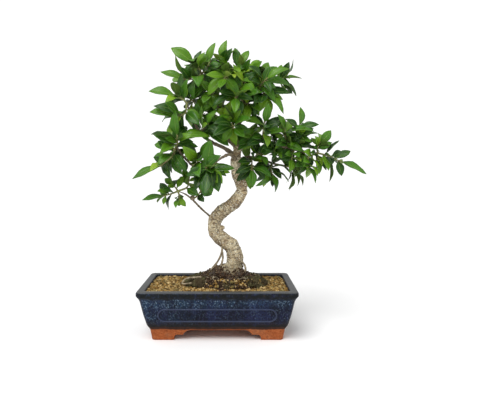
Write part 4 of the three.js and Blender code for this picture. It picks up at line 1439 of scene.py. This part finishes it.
def side_leaf(curve, share, angle, size, number, taken, hang, forward):
    """A leaf on a shoot, turned round it until it has room or else to where it has most."""
    base, tangent = curve.place(share), curve.tangent(share)
    side = unit(np.cross(np.array([0.0, 0, 1]), tangent))
    other = np.cross(tangent, side)
    reach = leaf_length * size * (0.8 + 0.3 * next(number))
    lean = 0.35 + 0.4 * next(number)
    droop = 0.15 + 0.3 * next(number)
    sway = np.array([0.9 * (next(number) - 0.5), 0.9 * (next(number) - 0.5), 0])
    if base[1] < crown_middle[1]:
        sway[1] -= forward
    crowd = np.array(taken)
    best, best_room = None, -1.0
    for attempt in range(attempts):
        if best_room >= leaf_room:
            break
        turned = angle + attempt * 2 * math.pi / attempts
        outward = side * math.cos(turned) + other * math.sin(turned)
        direction = tangent * lean + outward
        direction[2] -= droop * hang
        direction = unit(direction)
        leaf = leaf_of(base, base + direction * reach, facing_at(base) + sway)
        room = clearance(blade_points(leaf), crowd)
        if room > best_room:
            best, best_room = leaf, room
    return best


def bear_leaves(shoot, number, taken, count, spread, size, vary=None, hang=1.0, forward=0.0):
    """Adds leaves down a shoot, each turned by the golden angle from the last, where there is room."""
    first, reach, offset, parts = spread
    curve = Path(shoot["path"])
    first_angle = next(number) * 2 * math.pi
    for i in range(count):
        share = first - reach * (i + offset) / parts
        size_here = size * (vary[0] + vary[1] * next(number)) if vary else size
        leaf = side_leaf(curve, share, first_angle + golden_angle * i, size_here, number, taken, hang, forward)
        shoot["leaves"].append(leaf)
        taken += blade_points(leaf)


def grow_shoots():
    """Where every shoot and leaf goes: the frame's own leaves first, then smaller ones between them."""
    taken = []
    for path in (trunk_path, *branch_paths.values()):
        curve = Path(path)
        taken += [curve.place(i / branch_samples) for i in range(branch_samples + 1)]
    shoots = []
    for name, (branch, end, tip, count, size) in shoot_plan.items():
        base = np.array(end, float)
        leaf = leaf_of(base, np.array(tip, float), facing_at(base))
        path = shoot_path(branch, end, tip)
        curve = Path(path)
        taken += blade_points(leaf) + [curve.place(i / stem_samples) for i in range(stem_samples + 1)]
        shoots.append({"name": name, "path": path, "count": count, "size": size, "leaves": [leaf]})
    for index, shoot in enumerate(shoots):
        side_leaves = shoot["count"] - 1
        spread = (*own_leaf_spread, side_leaves)
        bear_leaves(shoot, repeatable(1000 + 37 * index), taken, side_leaves, spread, shoot["size"])
    small = {"hang": small_leaf_hang, "forward": small_leaf_forward}
    for index, shoot in enumerate(shoots):
        count = thin_shoots.get(shoot["name"], small_leaves_per_shoot)
        spread = (*small_leaf_spread, small_leaves_per_shoot)
        size = shoot["size"] * small_leaf_size
        bear_leaves(shoot, repeatable(5003 + 61 * index), taken, count, spread, size, (0.75, 0.5), **small)
    for index, (name, branch, end, tip, count, size) in enumerate(side_twigs):
        base = np.array(end, float)
        reach = unit(np.array(tip, float) - base) * leaf_length * size * 0.9
        leaf = leaf_of(base, base + reach, facing_at(base))
        twig = {"name": name, "path": shoot_path(branch, end, tip), "leaves": [leaf]}
        taken += blade_points(leaf)
        spread = (*side_twig_spread, count)
        bear_leaves(twig, repeatable(7001 + 41 * index), taken, count, spread, size, (0.8, 0.4), **small)
        shoots.append(twig)
    return shoots


def leaf_pattern(fold, curl, twist, wave):
    """A leaf one unit long on +Y: a pointed oval, folded on its midrib, arched, twisted, with a stalk."""
    deselect()
    bpy.ops.mesh.primitive_grid_add(x_subdivisions=4, y_subdivisions=7, size=1, location=(0, 0.5, 0))
    blade = bpy.context.object
    settle(blade)
    layer = blade.data.uv_layers[0]
    layer.name = "leaf"
    for loop, item in zip(blade.data.loops, layer.data):
        place = blade.data.vertices[loop.vertex_index].co
        item.uv = (place.x + 0.5, place.y)
    for vertex in blade.data.vertices:
        side, share = vertex.co.x * 2, vertex.co.y
        half = leaf_slimness * leaf_width_share / 2 * float(np.interp(share, *zip(*leaf_outline)))
        x = side * half
        z = leaf_arch * share * (1 - share) * (1 + curl) + fold * abs(x)
        z -= curl * 0.25 * share ** 3
        z += wave * math.sin(9 * share + 2 * side) * abs(side) ** 2 * half
        angle = twist * share
        vertex.co = Vector((x * math.cos(angle) - 0.3 * z * math.sin(angle), share, z + x * math.sin(angle)))
    blade.data.materials.append(leaf_top)
    blade.data.materials.append(leaf_underside)
    apply_modifier(blade, "SOLIDIFY", thickness=0.011, offset=-1, material_offset=1, material_offset_rim=1)
    edit_all(blade)
    face_outward()
    deselect()
    lying = {"location": (0, 0.06, 0), "rotation": (-math.pi / 2, 0, 0)}
    bpy.ops.mesh.primitive_cone_add(vertices=6, radius1=0.023, radius2=0.014, depth=0.17, **lying)
    stalk = settle(bpy.context.object)
    stalk.data.uv_layers[0].name = "leaf"
    stalk.data.materials.append(twig_finish)
    for vertex in stalk.data.vertices:
        vertex.co.z += leaf_arch * max(0.0, vertex.co.y) * (1 + curl) * 0.85 - 0.004
    leaf = join([blade, stalk])
    leaf.data.polygons.foreach_set("use_smooth", [True] * len(leaf.data.polygons))
    return leaf


def leaf_tone(leaf, place_number, draw):
    """Young leaves at the shoot's tip are light and yellow, inner and older ones are dark."""
    young = {0: 0.36, 1: 0.2}.get(place_number, 0.0)
    crown_low, crown_height = 160, 240
    height = (leaf["base"][2] - crown_low) / crown_height
    small = 0.12 if leaf["length"] < 26 else 0.0
    return min(1.0, 0.03 + 0.17 * height + young + small + 0.62 * draw ** 1.9)


def place_leaf(pattern, leaf, tone):
    """A copy of a leaf pattern set on its twig; small leaves are rounder."""
    copy = new_object("leaf", pattern.data.copy())
    length = leaf["length"]
    breadth = round_leaf_breadth if length < small_leaf_length else 1.0
    axes = np.stack([leaf["across"] * breadth, leaf["direction"], leaf["face"]], axis=1) * length * MM
    turn = Matrix([[*row, 0] for row in axes.tolist()] + [[0, 0, 0, 1]])
    copy.data.transform(Matrix.Translation(tree_foot + Vector(leaf["base"]) * MM) @ turn)
    set_attribute(copy, "tone", tone)
    return copy


def make_shoot(index, shoot, patterns):
    """One twig with its leaves and the pointed bud at its end, as loose pieces."""
    number = repeatable(3001 + 17 * index)
    wood = [limb(Path(shoot["path"]), "stem", 18, 8, 0.1, 80 + index)]
    leaves = []
    for i, leaf in enumerate(shoot["leaves"]):
        draw = next(number)
        pattern = patterns[int(len(patterns) * next(number))]
        leaves.append(place_leaf(pattern, leaf, leaf_tone(leaf, i, draw)))
    end = np.array(shoot["path"][2][:3])
    heading = unit(end - np.array(shoot["path"][1][:3]))
    tip = end + heading * 7 + np.array([0, 0, 1.5])
    bud = Path([(*(end - heading), 1.1), (*(end + heading * 3), 1.3), (*tip, 0.25)])
    wood.append(limb(bud, "bud", 8, 8))
    for piece in wood:
        piece.data.materials.append(twig_finish)
    return wood + leaves


def make_leaves():
    patterns = [leaf_pattern(*bends) for bends in leaf_bends]
    sprays = {}
    for index, shoot in enumerate(grow_shoots()):
        sprays.setdefault(shoot["name"], []).append((index, shoot))
    for name, shoots in sprays.items():
        pieces = [piece for index, shoot in shoots for piece in make_shoot(index, shoot, patterns)]
        finish_piece(join(pieces), "spray_" + name, None, ["leaves_" + name])
    for pattern in patterns:
        bpy.data.objects.remove(pattern)


# ---------------------------------------------------------------- camera, floor and light

def place_camera():
    camera = bpy.data.cameras.new("camera")
    camera.lens = 31.68
    camera.sensor_width = 36
    camera.shift_x = 0.038
    camera.shift_y = -0.046
    camera.clip_end = 50
    holder = new_object("camera", camera)
    holder.location = (pot_middle.x + 0.022, pot_middle.y - 0.768, soil_level + 0.194)
    holder.rotation_euler = (math.pi / 2, 0, 0)
    bpy.context.scene.camera = holder


def make_stage():
    deselect()
    below_feet = 0.2 * MM
    bpy.ops.mesh.primitive_plane_add(size=60, location=(0, 0, -below_feet))
    floor = bpy.context.object
    floor.name = "floor"
    settle(floor)
    paper = Shader("pale_floor", Roughness=0.9)
    color = paper.ramp(paper.noise(paper.place(), 3, 2), (0.3, 0.9), (0.7, 0.93))
    floor.data.materials.append(paper.wear(Base_Color=color))


def make_light(name, kind, power, toward, **settings):
    """A light that shines from the direction given; its own place only matters for an area light."""
    light = bpy.data.lights.new(name, kind)
    light.energy = power
    for key, value in settings.items():
        setattr(light, key, value)
    holder = new_object(name, light)
    holder.rotation_euler = Vector(toward).to_track_quat("Z", "Y").to_euler()
    return holder


def light_studio():
    scene = bpy.context.scene
    scene.view_settings.view_transform = "Standard"
    world = bpy.data.worlds.new("studio")
    world.use_nodes = True
    nodes, links = world.node_tree.nodes, world.node_tree.links
    air = nodes["Background"]
    air.inputs["Color"].default_value = (1, 1, 1, 1)
    seen = nodes.new("ShaderNodeLightPath").outputs["Is Camera Ray"]
    strength = nodes.new("ShaderNodeMapRange")
    strength.inputs["To Min"].default_value = 0.62
    strength.inputs["To Max"].default_value = 1.1
    links.new(seen, strength.inputs["Value"])
    links.new(strength.outputs["Result"], air.inputs["Strength"])
    scene.world = world
    make_light("window_light", "SUN", 2.6, (-0.6, -0.9, 1.5), angle=math.radians(45))
    place, target = Vector((1.3, -0.9, 0.6)), Vector((0, 0, 0.2))
    make_light("fill_light", "AREA", 3, place - target, size=1.0).location = place


# ---------------------------------------------------------------- putting it together

place_camera()
make_stage()
light_studio()
for side in ("left", "right"):
    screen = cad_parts["drain_screen_" + side]
    screen.data.materials.clear()
    screen.data.materials.append(plastic_finish)
make_pot()
make_soil()
make_gravel()
make_moss("moss_patch_left", 61)
make_moss("moss_patch_right", 67)
make_trunk()
make_aerial_roots()
make_fine_roots()
make_branches()
make_leaves()
